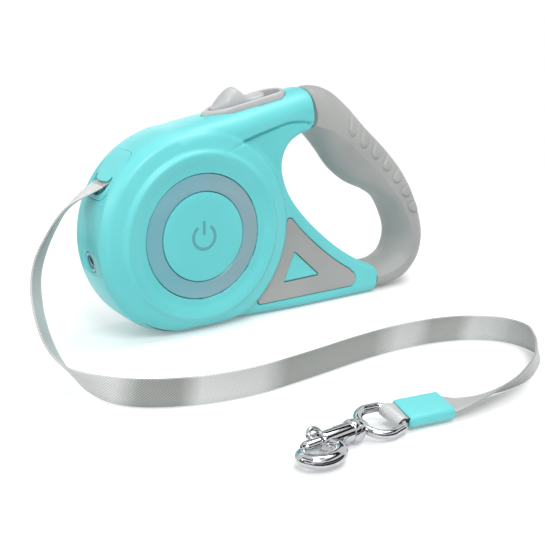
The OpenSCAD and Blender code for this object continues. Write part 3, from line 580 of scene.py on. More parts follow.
def inside(points, outline):
    """Which points lie within a closed outline."""
    hit = np.zeros(len(points), bool)
    for (ax, az), (bx, bz) in zip(outline, outline[1:] + outline[:1]):
        if az != bz:
            cross = ax + (points[:, 1] - az) / (bz - az) * (bx - ax)
            hit ^= ((az > points[:, 1]) != (bz > points[:, 1])) & (points[:, 0] < cross)
    return hit


def face_net():
    """Corners and triangles of the side face: rows along its edge and its groove, and a net between them."""
    edge = np.array(casing_outline)
    ring = casing_outline + casing_outline[:1]
    out = np.roll(edge, -1, 0) - np.roll(edge, 1, 0)
    out = np.stack([out[:, 1], -out[:, 0]], 1) / np.linalg.norm(out, axis=1)[:, None]
    if not inside(edge[5:6] + out[5:6] * 0.2, casing_outline)[0]:
        out = -out

    def within(row, gap):
        """The points of a row that lie inside the edge and farther than a gap from it."""
        return row[inside(row, casing_outline) & (reach(row, ring)[0] > gap)]

    edge_room, net_room, groove_room = 5.6, 5.9, 2.7
    kept = [edge]
    for d in (0.15, 0.4, 0.75, 1.2, 1.8, 2.5, 3.3, 4.2, 5.2):
        kept.append(within(edge + out * d, d * 0.97))
    line = np.array(curve(groove_line, 3))
    aside = np.gradient(line, axis=0)
    aside = np.stack([-aside[:, 1], aside[:, 0]], 1) / np.linalg.norm(aside, axis=1)[:, None]
    for d in (-2.2, -1.5, -1.0, -0.65, -0.3, 0, 0.3, 0.65, 1.0, 1.5, 2.2):
        row = within(line + aside * d, edge_room)
        kept.append(row[row[:, 0] > 12.5])
    turn = np.linspace(0, 2 * pi, 240, endpoint=False)
    for r in (36.7, 37.3, 37.8, 38.3, 38.8, 39.3, 39.9, 40.5):
        row = within(np.stack([r * np.cos(turn), axis_h + r * np.sin(turn)], 1), edge_room)
        kept.append(row[reach(row, line)[0] > groove_room])
    u, v = np.meshgrid(np.arange(-50, 108, 1.1), np.arange(0, 110, 0.95))
    u[1::2] += 0.55
    net = np.stack([u.ravel(), v.ravel()], 1)
    net = within(net[np.abs(np.hypot(net[:, 0], net[:, 1] - axis_h) - 38.6) > 2.6], net_room)
    kept.append(net[reach(net, line)[0] > groove_room])
    points = [Vector(p) for p in np.concatenate(kept)]
    corners, _, faces = delaunay_2d_cdt(points, [], [list(range(len(edge)))], 1, 1e-5)[:3]
    return [(c[0], 0, c[1]) for c in corners], [tuple(f) for f in faces]


def half_from(name, corners, faces, side):
    """Lifts the flat face to its moulded heights and closes it down to the parting plane."""
    high = face_height(np.array([(c[0], c[2]) for c in corners]))
    made = mesh_of(name, [(c[0], side * h, c[2]) for c, h in zip(corners, high)], faces)
    edit(made)
    bpy.ops.mesh.select_mode(type="EDGE")
    bpy.ops.mesh.select_all(action="DESELECT")
    bpy.ops.mesh.select_non_manifold(extend=False, use_wire=False, use_boundary=True,
                                     use_multi_face=False, use_non_contiguous=False, use_verts=False)
    bpy.ops.mesh.extrude_region_move()
    bpy.ops.object.mode_set(mode="OBJECT")
    for v in made.data.vertices:
        if v.select:
            v.co.y = side * parting * MM
    pick(made)
    bpy.ops.object.mode_set(mode="EDIT")
    bpy.ops.mesh.edge_face_add()
    bpy.ops.mesh.select_mode(type="VERT")
    bpy.ops.object.mode_set(mode="OBJECT")
    return close_up(made)


def copy_of(node, name):
    """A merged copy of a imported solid."""
    made = mesh_of(name, [], [])
    made.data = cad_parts[node].data.copy()
    made.data.name = name
    made.data.transform(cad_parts[node].matrix_world)
    made.data.materials.clear()
    return close_up(made, 30)


def swollen(node, name, by):
    """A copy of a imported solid, grown all round by a distance in mm, or shrunk if that is below nought."""
    return finish_with(copy_of(node, name), "DISPLACE", strength=by * MM, mid_level=0)


def round_nose(made, radius):
    """Draws the blunt rear end of an inlay to a round nose."""
    tip = max(v.co.x for v in made.data.vertices)
    nose_z = float(np.mean([v.co.z for v in made.data.vertices if v.co.x > tip - 0.02 * MM]))
    edit(made)
    for rise in (-0.9, 0.0, 0.9):
        bpy.ops.mesh.select_all(action="SELECT")
        bpy.ops.mesh.bisect(plane_co=(0, 0, nose_z + rise * MM), plane_no=(0, 0, 1))
    bpy.ops.object.mode_set(mode="OBJECT")
    middle = tip - radius * MM
    for v in made.data.vertices:
        rise = min(abs(v.co.z - nose_z), 0.99 * radius * MM)
        if v.co.x > middle:
            v.co.x = min(v.co.x, middle + sqrt((radius * MM) ** 2 - rise ** 2))
    return made


def join(made, *others):
    pick(made)
    for other in others:
        other.select_set(True)
    bpy.ops.object.join()
    return made


teal = Finish("turquoise_plastic")
mottle = teal.noise(22.0, 3.0)
grain = teal.noise(2400.0)
teal.set(Base_Color=teal.tint(mottle, (99, 204, 207), (108, 211, 213)),
         Roughness=teal.drift(mottle * 0.6 + grain * 0.4, 0.36, 0.44),
         Normal=teal.bump(grain, 0.00003, 0.25), Coat_Weight=0.1, Coat_Roughness=0.3)

net_corners, net_faces = face_net()
left_casing = half_from("left_casing", net_corners, net_faces, -1)
right_casing = half_from("right_casing", net_corners, net_faces, 1)
rail_frame = at_axis @ Matrix.Rotation(-rail_tilt, 4, "Y")
lens_out = at_axis @ turned(180, "Z") @ turned(99.8, "Y")


def bezel_plan(front, rear, half, n=14):
    """Plan of the brake's frame: a round rear end, straight sides and a pointed front."""
    c, nose, p = rear - half, 1.5 * half, 1.5
    round_end = [(c + half * cos(a), half * sin(a))
                 for a in np.linspace(-pi / 2, pi / 2, 2 * n + 1)]
    side = [(s, half) for s in np.linspace(c, front + nose, 9)[1:-1]]
    tip = [(front + nose - nose * cos(a) ** (2 / p), half * sin(a) ** (2 / p))
           for a in np.linspace(pi / 2, 0, n + 1)]
    tip += [(s, -y) for s, y in reversed(tip[:-1])]
    return round_end + side + tip + [(s, -y) for s, y in reversed(side)]


def upright(name, plan, low, high):
    """A block on a plan in the rail's frame, between two heights above the reel's axis."""
    return put(block_on(name, [(s, y, low) for s, y in plan], (0, 0, high - low)), rail_frame)


def on_drum(y, u, r):
    """A point at a width y and a distance u along the rim, below the tongue's tip, at a radius r."""
    tongue_turn = radians(146.2)
    a = tongue_turn + u / casing_r
    return (r * cos(a), y, axis_h + r * sin(a))


def round_plan(half, low, high, r):
    """A rectangle with round corners, in widths and distances along the rim."""
    made = []
    for cx, cu, turn in ((half - r, high - r, 0), (r - half, high - r, 90), (r - half, low + r, 180),
                         (half - r, low + r, 270)):
        made += [(cx + r * cos(radians(turn + a)), cu + r * sin(radians(turn + a)))
                 for a in range(0, 91, 10)]
    return made


insert_half, insert_top, insert_foot, insert_gap = 9.5, -17.0, 8.4, 0.22
chamber_r, chamber_half, lens_r, light_r, axle_r, screw_r = 46.3, 12.0, 4.9, 28.8, 3.25, 3.1
nose_r, inlay_gap, inlay_ease = 3.9, 0.45, 0.25
chamber_plan = [(chamber_r * cos(a), axis_h + chamber_r * sin(a))
                for a in np.linspace(radians(-68.2), radians(248.2), 90)]
seat_plan = round_plan(insert_half + insert_gap, insert_top - insert_gap, insert_foot + insert_gap, 5.6)
for half, side in ((left_casing, -1), (right_casing, 1)):
    chamber_start = [(x, -side, z) for x, z in chamber_plan]
    carve(half, block_on("reel_chamber", chamber_start, (0, side * (chamber_half + 1), 0)),
          upright("rail_hollow", [(15, -7.4), (66, -7.4), (66, 7.4), (15, 7.4)], 31.2, 44.0),
          bar("lens_hole", lens_r, lens_out @ Matrix.Translation((0, 0, 40)), 14),
          lathe("lens_cone", [(0, 47.6), (lens_r, 47.6), (6.3, 49.4), (0, 49.4)], lens_out, 64),
          upright("bezel_seat", bezel_plan(19.05, 64.15, 8.35), 40, 56),
          skin("insert_seat", [[on_drum(y, u, r) for y, u in seat_plan] for r in (41, 54)]))
carve(left_casing, bar("light_hole", light_r, lit_side @ Matrix.Translation((0, 0, 11)), 12, 160))
carve(right_casing, bar("axle_hole", axle_r, plain_side @ Matrix.Translation((0, 0, 12)), 10))

# Screw holes and wells on the right side
handle_screws, web_screws = [(72, 93), (107, 66), (130.5, 22)], [(58, 9.4), (98, 7.5)]


def screw_way(x, y, z):
    """A frame on a screw's axis, whose local Z points out of the right side."""
    return Matrix.Translation((x, y, z)) @ turned(-90, "X")


for x, z in web_screws:
    carve(right_casing, bar("screw_hole", screw_r, screw_way(x, 4, z), 12))
for half, node in ((left_casing, "left_inlay"), (right_casing, "right_inlay")):
    carve(half, round_nose(swollen(node, node + "_seat", inlay_gap), nose_r + inlay_gap))
well_profile = [(screw_r, 5.0), (4.2, 5.0), (4.2, 9.4), (screw_r, 9.4)]
join(right_casing, *[lathe("screw_well", well_profile, screw_way(x, 0, z), 40) for x, z in handle_screws])
for half, node in ((left_casing, "left_shell"), (right_casing, "right_shell")):
    close_up(half, 40)
    dress(half, teal, "casing", [node])


# Mouth insert
# A strip of the same plastic let into the rim. Its lower end is a rounded tongue over the slot that
# the tape comes out of, with a scoop below, and a guide block behind it.
def bevel(made, width, segments, angle=30):
    """Rounds the edges that turn by more than an angle."""
    return finish_with(made, "BEVEL", width=width * MM, segments=segments, limit_method="ANGLE",
                       angle_limit=radians(angle))


slot_half, tongue_half = 8.0, 6.3
slot_plan = [(slot_half * cos(a), 1.6 + 5.0 * sin(a)) for a in np.linspace(0, pi, 25)]
slot_plan += [(-slot_half, y) for y in (0.2, -1.2, -2.6)] + [(-7.2, -3.4), (-6.4, -2.6)]
slot_plan += [(-tongue_half * cos(a), -2.2 + 2.3 * sin(a) ** 0.8) for a in np.linspace(0.12, pi - 0.12, 25)]
slot_plan += [(6.4, -2.6), (7.2, -3.4)] + [(slot_half, y) for y in (-2.6, -1.2, 0.2)]
insert_plan = round_plan(insert_half, insert_top, insert_foot, 5.5)
u, v = np.meshgrid(np.arange(-9, 9.1, 0.6), np.arange(-16.6, 8.2, 0.6))
net = np.stack([u.ravel(), v.ravel()], 1)
slot_ring = slot_plan + slot_plan[:1]
net = net[inside(net, insert_plan) & ~inside(net, slot_plan) & (reach(net, slot_ring)[0] > 0.45)
          & (reach(net, insert_plan + insert_plan[:1])[0] > 0.45)]
n, m = len(insert_plan), len(slot_plan)
flat, _, faces = delaunay_2d_cdt([Vector(q) for q in insert_plan + slot_plan] + [Vector(q) for q in net],
                                 [(n + k, n + (k + 1) % m) for k in range(m)], [list(range(n))], 1, 1e-5)[:3]
flat = np.array([tuple(q) for q in flat])
centre = np.array([flat[list(f)].mean(0) for f in faces])
faces = [tuple(f) for f, hole in zip(faces, inside(centre, slot_plan)) if not hole]
near = reach(flat, slot_ring)[0]
tongue_rise = 0.9 * ease(flat[:, 1], -8, 0.4) * np.clip(1 - (flat[:, 0] / 6.6) ** 2, 0, 1)
lip = np.where(flat[:, 1] < 1.0, tongue_rise, 0.45 * np.exp(-near ** 2))
insert = mesh_of("mouth_insert", [on_drum(q[0], q[1], casing_r + 0.1 + h) for q, h in zip(flat, lip)], faces)
close_up(insert)
if sum(f.normal.x for f in insert.data.polygons) > 0:
    insert.data.flip_normals()
finish_with(insert, "SOLIDIFY", thickness=2.0 * MM, offset=-1)
bevel(insert, 0.22, 2, 55)
block = copy_of("tape_guide", "guide_block")
carve(block, lathe("rim_trim", [(46.4, -20), (60, -20), (60, 20), (46.4, 20)], lit_side, 128))
join(insert, block)
close_up(insert, 40)
dress(insert, teal, "casing", ["tape_guide"])


# Front lamp
# A small lens of smoked polycarbonate, let into a chamfered hole in the front of the rim.
lens = lathe("lamp_lens", [(0, 47.9), (1.8, 47.75), (3.2, 47.2), (3.3, 47.9), (3.75, 48.2), (4.45, 47.9),
                           (4.5, 44.9), (0, 44.9)], lens_out, 64)
# The middle of the lens in metres, as the shader measures
lens_middle = (-0.0459, 0, 0.0371)
glass = Finish("smoked_lens")
middle = glass.node("ShaderNodeVectorMath", {"operation": "DISTANCE"},
                    {0: glass.place(), 1: lens_middle}, out="Value")
rim = glass.range(middle, 0.0029, 0.0035, 0, 1)
glass.set(Base_Color=glass.mix(rim, srgb(38, 84, 96), srgb(110, 176, 184)),
          Roughness=glass.drift(glass.noise(900.0), 0.06, 0.14), Coat_Weight=0.6)
dress(lens, glass, "casing", ["front_lens"])


# Soft grips
# Two half sleeves of grey thermoplastic rubber over the handle's core. The outer half of the section
# carries seven soft pads, and a crease parts it from the dished inner half.
outer_knots = [(63.9, 105.6), (67.8, 106.6), (77.6, 104.4), (89, 96.0), (100, 85.3), (113.5, 73.2),
               (125.5, 60.2), (134, 46.5), (139, 33), (140, 22), (136.5, 11.5), (127.5, 3), (115, 0),
               (104, 0)]
inner_knots = [(61, 86.4), (66, 84), (70.5, 79.8), (75.5, 73.4), (82, 65), (92, 57.2), (104, 51.6),
               (113.5, 45.4), (119.8, 36), (122, 27), (119, 18.8), (114.5, 15.4), (109.5, 14.2), (104, 14.4)]
crease_share = [0.13, 0.17, 0.27, 0.38, 0.46, 0.45, 0.36, 0.27, 0.26, 0.33, 0.40, 0.38, 0.40, 0.46]
grip_half, pads, pad_r, pad_rise, pad_groove = 12.4, 7, 2.9, 0.45, 0.55


def grip_half_sleeve(name, side):
    """One half of the sleeve, skinned over rings that go round its outer face and back inside it."""
    outer, inner = np.array(curve(outer_knots, 18)), np.array(curve(inner_knots, 18))
    outer[:, 1] = np.clip(outer[:, 1], 0.05, None)
    share = np.array(curve([np.array((c, 0.0)) for c in crease_share], 18))[:, 0]
    crease = inner + (outer - inner) * share[:, None]
    steps = np.linalg.norm(np.diff(crease * 0.6 + outer * 0.4, axis=0), axis=1)
    along = np.concatenate([[0], np.cumsum(steps)])
    start = along[np.argmin(np.linalg.norm(crease - (85.5, 80.5), axis=1))]
    end = along[np.argmin(np.linalg.norm(crease - (126, 39), axis=1))]
    total = along[-1]
    pad_pitch = (end - start) / (pads - 0.5)
    turns = np.linspace(-1, 1, 57)
    rings = []
    for k in range(len(outer)):
        ring, far = [], []
        for t in turns:
            q = share[k] + (1 - share[k]) * t if t > 0 else share[k] * (1 + t)
            a = abs(t) ** 0.9
            p = 2.5 if t > 0 else 2.2
            y = grip_half * (1 - a ** p) ** (1 / p) * (1 - (0.10 if t > 0 else 0.24) * a)
            here = inner[k] + (outer[k] - inner[k]) * q
            pad = (along[k] - start) / pad_pitch
            if t > 0 and -0.5 < pad < pads - 0.5:
                off = (pad - round(pad)) * pad_pitch
                deep = t * 11.0 - 2.4
                edge = pad_r - (hypot(off, deep - pad_r) if deep < pad_r else abs(off))
                swell = pad_rise * ease(edge, 0.1, 1.0) - pad_groove * exp(-((edge + 0.1) / 0.42) ** 2)
                y += swell * (1 - ease(t, 0.78, 0.93))
            at_head, at_foot = max(0, 1 - along[k] / 14) ** 2, max(0, 1 - (total - along[k]) / 10) ** 2
            bulge = 3.4 * sin(pi * min(max(q, 0), 1) ** 0.6) * at_head
            foot = (1.3 * sin(pi * q) - 2.6 * (1 - q) ** 5) * at_foot
            lap = 0.45 * max(0, 1 - along[k])
            ring.append((here[0] + bulge + foot + lap, side * max(y, parting), here[1]))
            middle = inner[k] + (outer[k] - inner[k]) * (0.5 + (q - 0.5) * 0.78)
            far.append((middle[0] + bulge + foot, side * max(y * 0.74, parting), middle[1]))
        rings.append(ring + far[::-1])
    return skin(name, rings, angle=24)


rubber = Finish("grip_rubber")
tone = rubber.noise(30.0, 3.0)
skin_grain = rubber.noise(1500.0, 3.0, 0.6)
rubber.set(Base_Color=rubber.tint(tone, (156, 158, 157), (167, 168, 166)),
           Roughness=rubber.drift(skin_grain, 0.52, 0.64),
           Normal=rubber.bump(skin_grain, 0.00006, 0.35), Sheen_Weight=0.08)
left_grip = grip_half_sleeve("left_grip_sleeve", -1)
right_grip = grip_half_sleeve("right_grip_sleeve", 1)
for x, z in handle_screws:
    carve(right_grip, bar("screw_hole", screw_r, screw_way(x, 8, z), 12))
close_up(right_grip, 24)
for half, node in ((left_grip, "left_grip"), (right_grip, "right_grip")):
    dress(half, rubber, "casing", [node])


# Triangle inlays
# Flat frames of grey plastic, pressed into recesses in the web round a raised turquoise triangle.
for node, name in (("left_inlay", "left_triangle"), ("right_inlay", "right_triangle")):
    made = swollen(node, name, -inlay_ease)
    finish_with(made, "DECIMATE", decimate_type="DISSOLVE", angle_limit=radians(2))
    round_nose(made, nose_r - inlay_ease)
    bevel(made, 0.4, 3, 50)
    dress(close_up(made, 30), rubber, "casing", [node])


# Light ring and power button
# A frosted ring of polycarbonate, lit from below, with a slightly domed turquoise push button in its middle.
# The ring's colour changes from one side to the other, as painted light and shade.
ring_profile = [(20.6, 14.9), (20.6, 16.55), (20.95, 16.85), (24.5, 16.95), (28.1, 16.85), (28.45, 16.5),
                (28.45, 13.75), (27.3, 13.75), (27.3, 15.2)]
light_ring = lathe("light_ring_diffuser", ring_profile, lit_side, 192)
frost = Finish("frosted_diffuser")
painted_shade_x, _, _ = frost.axes(frost.place())
cloud = frost.noise(35.0, 3.0)
speck = frost.noise(3000.0)
# Painted shade: across X, the ring goes from pale blue on one side to grey on the other, as if light fell
# from one side
frost.set(Base_Color=frost.mix(frost.range(painted_shade_x * 14.0 + cloud * 0.4, -0.3, 0.7, 0, 1),
                               srgb(112, 175, 188), srgb(138, 166, 175)),
          Roughness=frost.drift(speck, 0.34, 0.44),
          Normal=frost.bump(speck, 0.00002, 0.3), Coat_Weight=0.25)
dress(light_ring, frost, "casing", ["light_ring"])

button_profile = [(0, 15.7), (19.0, 15.7), (19.0, 14.55), (20.2, 14.55), (20.3, 16.7), (20.15, 17.02),
                  (19.8, 17.16), (16, 17.28), (8, 17.30), (0, 17.30)]
power_cap = lathe("power_cap", button_profile, lit_side, 192)
mint = Finish("button_plastic")
px, _, pz = mint.axes(mint.place())
bx, bz = px / MM, pz / MM - axis_h
far = mint.maths("SQRT", bx * bx + bz * bz)
turn = mint.maths("ARCTAN2", mint.maths("ABSOLUTE", bx), bz)


def band(value, middle, half, soft=0.12):
    """One where a value is within half of a middle, with a soft edge."""
    return mint.range(mint.maths("ABSOLUTE", value - middle), half - soft, half + soft, 1, 0)


# The power sign, an open ring with a bar in its gap, sunk into the button
arc_mark = band(far, 5.5, 0.75) * mint.range(turn, radians(33), radians(36), 0, 1)
bar_mark = band(bx, 0.0, 0.72) * band(bz, 4.2, 3.2)
mark = mint.maths("MAXIMUM", arc_mark, bar_mark)
mottle = mint.noise(22.0, 3.0)
grain = mint.noise(2400.0)
mint.set(Base_Color=mint.mix(mark, mint.tint(mottle, (102, 207, 210), (110, 213, 215)), srgb(90, 164, 170)),
         Roughness=mint.drift(grain, 0.40, 0.48) + mark * 0.05,
         Normal=mint.bump(grain * 0.1 - mark, 0.00008, 0.6))
dress(power_cap, mint, "power_button", ["power_button"])


# Thumb brake
# A frame of light grey plastic let into the rail, and in it a thumb button
# that presses down and slides back to lock.
frame_section = [(0, -3.6), (0, 1.1), (0.06, 1.42), (0.18, 1.62), (0.36, 1.7), (0.60, 1.6), (0.82, 1.25),
                 (0.95, 0.7), (1, 0), (1, -3.6)]
frame_rings = [[(s0 + (s1 - s0) * a, y0 + (y1 - y0) * a, rail_top + h) for a, h in frame_section]
               for (s0, y0), (s1, y1) in zip(bezel_plan(23.4, 61.6, 6.3), bezel_plan(19.4, 63.8, 8.0))]
brake_frame = put(skin("brake_frame", frame_rings, closed=True), rail_frame)
close_up(brake_frame, 40)
pale = Finish("pale_plastic")
cloud = pale.noise(40.0, 3.0)
speck = pale.noise(2200.0)
pale.set(Base_Color=pale.tint(cloud, (180, 182, 183), (190, 191, 192)),
         Roughness=pale.drift(speck, 0.32, 0.42),
         Normal=pale.bump(speck, 0.00003, 0.3))
dress(brake_frame, pale, "casing", ["brake_bezel"])

side_view = curve([(0, 2.2), (2.5, 3.1), (6, 5.4), (9.5, 7.9), (12.0, 8.8), (13.6, 8.3), (15.2, 6.6),
                   (16.8, 4.4), (19.0, 3.2), (23, 2.7), (28.2, 2.4)], 4)
front, rear, half_wide, thumb_start, thumb_mid, thumb_foot = 24.2, 53.2, 5.75, 24.6, 47.0, 42.6
nose_long, nose_power = 1.5 * half_wide, 1.5
thumb_rings = []
for s, t in side_view:
    s += thumb_start
    nose = max(0.0, (front + nose_long - s) / nose_long)
    tail = max(0.0, (s - rear + half_wide) / half_wide)
    wide = half_wide * (1 - min(nose, 0.998) ** nose_power) ** (1 / nose_power)
    wide *= sqrt(1 - min(tail, 0.995) ** 2)
    power = 4.5 - 2.2 * exp(-((s - 36.4) / 6.0) ** 2)
    ring = []
    for a in np.linspace(0, pi, 33):
        y = wide * copysign(abs(cos(a)) ** (2 / power), cos(a))
        ring.append((s, y, thumb_mid + (rail_top - thumb_mid + t) * sin(a) ** (2 / power)))
    thumb_rings.append(ring + [(s, -wide, thumb_foot), (s, wide, thumb_foot)])
thumb = put(skin("thumb_button", thumb_rings, angle=50), rail_frame)
dress(close_up(thumb, 50), pale, "brake_button", ["brake_button"])


# End sleeve
# A moulded turquoise sleeve over the sewn fold of the tape, open towards the snap, where the loop comes out.
sleeve_place = (Matrix.Translation(sleeve_mid) @ Matrix.Rotation(sleeve_yaw, 4, "Z")
                @ Matrix.Rotation(-sleeve_roll, 4, "X"))


def block_of(name, size, middle=(0, 0, 0)):
    """A box of a size about its middle, in mm."""
    clear()
    bpy.ops.mesh.primitive_cube_add(size=1)
    made = bpy.context.object
    made.name = made.data.name = name
    scale = Matrix.Diagonal((*(v * MM for v in size), 1))
    made.data.transform(Matrix.Translation(Vector(middle) * MM) @ scale)
    return made


sleeve = block_of("tape_sleeve", (sleeve_len, 13.9, 4.9))
bevel(sleeve, 1.75, 6)
carve(sleeve, block_of("sleeve_pocket", (6, 11.9, 3.5), (7.8, 0, 0)),
      block_of("sleeve_slot", (6, 11.9, 1.5), (-8, 0, 0)))
bevel(sleeve, 0.18, 2, 60)
put(sleeve, sleeve_place)
dress(close_up(sleeve, 40), teal, "casing", ["end_sleeve"])


# Snap hook
# A chromed zinc casting: a swivel eye that the tape's loop holds, a barrel that turns on its post, a flat
# blade that widens into the hook, and a spring bolt with a half ring for the thumb.
eye_roll, hook_roll = 14, 5


def at_snap(roll):
    """The snap's own frame, with X along it from the eye, rolled about X by some degrees."""
    return Matrix.Translation((5.2, -141.8, 4.4)) @ turned(184.5, "Z") @ turned(-roll, "X")


def tube(name, line, radius, up, flat=1.0, sides=20, closed=False):
    """A bar of round or flattened section along a line in a plane that up stands on."""
    line, rings, last = [np.array(p, float) for p in line], [], len(line) - 1
    up = np.array(up, float)
    for k, p in enumerate(line):
        if closed:
            d = line[(k + 1) % (last + 1)] - line[k - 1]
        else:
            d = line[min(k + 1, last)] - line[max(k - 1, 0)]
        b = np.cross(unit(d), up)
        r = radius[k] if isinstance(radius, list) else radius
        rings.append([p + b * r * cos(a) + up * r * flat * sin(a)
                      for a in np.linspace(0, 2 * pi, sides, endpoint=False)])
    return skin(name, rings, closed, 40)


along_x = turned(90, "Y")
eye_half, eye_mid, eye_round, eye_wire, eye_corner, eye_bar = 7.05, 7.0, 7.75, 1.7, 2.6, 4.45
eye_side = [(eye_corner - eye_corner * sin(a), eye_bar + eye_corner * cos(a), 0)
            for a in np.linspace(pi / 2, 0, 9)]
eye_side += [(x, eye_half + (eye_round - eye_half) * (x - eye_corner) / 4.4, 0) for x in (3.7, 4.8, 5.9)]
eye_line = [(0, y, 0) for y in np.linspace(-4.4, 4.4, 9)] + eye_side
eye_line += [(eye_mid + eye_round * sin(a), eye_round * cos(a), 0)
             for a in np.linspace(0, pi, 37)]
eye_line += [(x, -y, 0) for x, y, _ in reversed(eye_side)]
swivel = tube("swivel_eye_ring", eye_line, eye_wire, (0, 0, 1), 1.0, 20, True)
post_profile = [(0, 13.6), (2.1, 13.7), (2.3, 14.9), (2.6, 16.0), (3.4, 16.7), (3.85, 17.0), (3.9, 17.3),
                (3.9, 18.2), (3.7, 18.5), (1.9, 18.55), (1.9, 20.85), (2.7, 20.85), (2.7, 21.8), (0, 21.8)]
post = lathe("swivel_post", post_profile, along_x, 48, 30)
join(swivel, post)
put(swivel, at_snap(eye_roll))
chrome = Finish("chrome")
wear = chrome.noise(700.0, 3.0)
chrome.set(Base_Color=chrome.tint(wear, (186, 188, 191), (198, 200, 203)),
           Metallic=1.0, Roughness=chrome.range(wear, 0.35, 0.7, 0.05, 0.10))
dress(swivel, chrome, "casing", ["swivel_eye"])

barrel_profile = [(2.0, 18.8), (3.9, 18.8), (4.2, 19.05), (4.3, 19.4), (4.3, 20.9), (4.1, 21.3), (3.6, 21.6),
                  (3.6, 33.2), (3.5, 34.2), (3.2, 34.75), (2.4, 34.8), (2.4, 22.2), (2.0, 22.1)]
barrel = lathe("snap_hook_body", barrel_profile, along_x, 64, 30)
carve(barrel, put(block_of("knob_slot", (15, 3.0, 5), (34.4, 0, 3.6)), turned(45, "X")))
hook_x, hook_side, hook_r, hook_steps = 38.75, 5.2, 7.6, 63
hook_line = [(hook_x + hook_r * cos(a), hook_side + hook_side * sin(a), 0)
             for a in np.radians(np.linspace(-50, 226, hook_steps + 1))]
hook_radii = [1.2 + min(1, 5.0 * k / hook_steps) ** 0.5 + 0.55 * sin(pi * k / hook_steps)
              for k in range(hook_steps + 1)]
hook = tube("hook", hook_line, hook_radii, (0, 0, 1), 0.92, 24)
blade_half = 1.25
blade_plan = [(24.0, 0.5), (24.5, 3.4), (27.0, 4.2), (29.2, 6.0), (31.2, 8.4), (33.4, 9.8), (35.0, 9.0),
              (34.6, 6.4), (35.0, 4.0), (36.0, 2.4), (35.6, 0.5)]
blade = block_on("blade", [(x, y, -blade_half) for x, y in blade_plan], (0, 0, 2 * blade_half))
bevel(blade, 0.5, 3, 40)
join(barrel, hook, blade)
put(barrel, at_snap(hook_roll))
dress(close_up(barrel, 40), chrome, "snap_body", ["snap_body"])

bolt_profile = [(0, 29.15), (2.2, 29.15), (2.3, 29.3), (2.3, 40.4), (2.1, 41.5), (1.5, 42.3), (0.7, 42.5),
                (0, 42.55)]
bolt = lathe("spring_bolt", bolt_profile, along_x, 48, 30)
# Both loops below go a little past half a turn at either end
knob_x, over_half = 35.6, 0.35
loop_line = [(knob_x + 2.4 * cos(a), 0, 3.4 + 2.0 * sin(a))
             for a in np.linspace(-over_half, pi + over_half, 32)]
ring_pull = tube("thumb_ring", loop_line, 0.8, (0, 1, 0), 1.35, 16)
stalk = block_of("thumb_stalk", (4.8, 1.7, 2.4), (knob_x, 0, 2.4))
bevel(stalk, 0.4, 2)
put(join(ring_pull, stalk), turned(45, "X"))
join(bolt, ring_pull)
put(bolt, at_snap(hook_roll))
dress(bolt, chrome, "snap_bolt", ["snap_bolt"])

# The loop of tape round the eye's bar
fold_wide, fold_thick, fold_r = 10.3, 0.6, eye_wire + 0.5
fold_end = [(-6.5, 0, 0.6), (-4.2, 0, 1.0), (-2.2, 0, 1.5)]
fold_path = fold_end + [(fold_r * sin(a), 0, fold_r * cos(a))
                        for a in np.linspace(-over_half, pi + over_half, 15)]
fold_path += [(x, 0, -z) for x, _, z in reversed(fold_end)]
fold_line = curve(fold_path, 3)
fold = ribbon("tape_fold", fold_line, [np.array((0, 1.0, 0))] * len(fold_line), fold_wide, fold_thick,
              np.array((1.0, 0, 0.15)), np.array((-1.0, 0, 0.15)))
put(fold, at_snap(eye_roll))
dress(fold, cloth, "casing", ["tape_loop"])
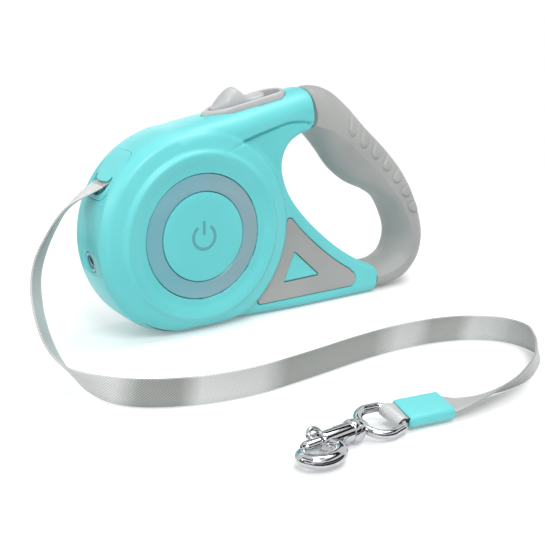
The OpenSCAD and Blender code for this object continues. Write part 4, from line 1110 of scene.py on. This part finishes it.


# Reel and works inside
# The wound tape, two coil springs that move with their parts, and the pieces that keep their
# imported solids: reel halves, mainspring, axle, screws, brake lever, lamps, cell, switch and board.
hub, full, layer_t, layers_seen = 22.0, 39.0, 0.85, 20
upper = [(hub + 0.05, 5.7)] + [(hub + 0.6 + k * layer_t, 5.75 - 0.12 * (k % 2)) for k in range(layers_seen)]
upper += [(full - 0.05, 5.6)]
wound = [(r, -h) for r, h in upper] + upper[::-1]
winding = lathe("wound_tape", wound, lit_side, 96, 20)
coil = Finish("wound_twill")
cx, _, cz = coil.axes(coil.place())
above = cz - axis_h * MM
# Painted shade between the wound layers: a dark ring in each gap and a light ring on each wrap's edge
layer_shade = coil.maths("SINE", coil.maths("SQRT", cx * cx + above * above) * (2 * pi / (layer_t * MM)))
coil.set(Base_Color=coil.mix(coil.range(layer_shade, -1, 1, 0, 1), srgb(128, 130, 127), srgb(196, 198, 195)),
         Roughness=coil.range(layer_shade, -1, 1, 0.6, 0.45))
dress(winding, coil, "reel", ["tape_winding"])


def speckled(name, dark, light, rough, scale=900.0, metal=0.0):
    """A plain material with a fine change of tone and gloss."""
    made = Finish(name)
    grain = made.noise(scale, 3.0)
    return made.set(Base_Color=made.tint(grain, dark, light), Metallic=metal,
                    Roughness=made.drift(grain, rough, rough + 0.1), Normal=made.bump(grain, 0.00003, 0.25))


steel = speckled("bright_steel", (176, 178, 182), (196, 198, 202), 0.22, 1400.0, 1.0)
milk = speckled("white_moulding", (224, 224, 220), (234, 234, 231), 0.40)
coal = speckled("black_moulding", (34, 35, 37), (46, 47, 50), 0.45)
laminate = speckled("board_laminate", (24, 88, 52), (34, 104, 62), 0.35, 500.0)
for finish, nodes in (
        (steel, ("casing_screws", "brake_pin", "mainspring", "reel_axle", "axle_screw", "coin_cell")),
        (milk, ("reel_drum", "reel_cover", "ring_leds", "front_lamp")),
        (coal, ("key_switch", "cell_holder", "switch_stem", "brake_lever")), (laminate, ("light_board",))):
    for node in nodes:
        dress(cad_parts[node], finish)


def coil_of(node, name, body, axis):
    """A coil spring of steel, copied from its imported solid, that moves with a body. Its length along an
    axis is measured.
    """
    made = copy_of(node, name)
    axis = Vector(axis).normalized()
    ends = sorted(v.co.dot(axis) for v in made.data.vertices)
    length = ends[-1] - ends[0]
    dress(made, steel, body, [node])
    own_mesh(made)
    return made


up_rail = (-sin(rail_tilt), 0, cos(rail_tilt))
along_snap = at_snap(hook_roll).to_3x3() @ Vector((-1, 0, 0))
coil_of("brake_spring", "brake_coil", "casing", up_rail)
bolt_coil = coil_of("bolt_spring", "bolt_coil", "snap_body", along_snap)

[tuple(p * MM) for p in tape_line]
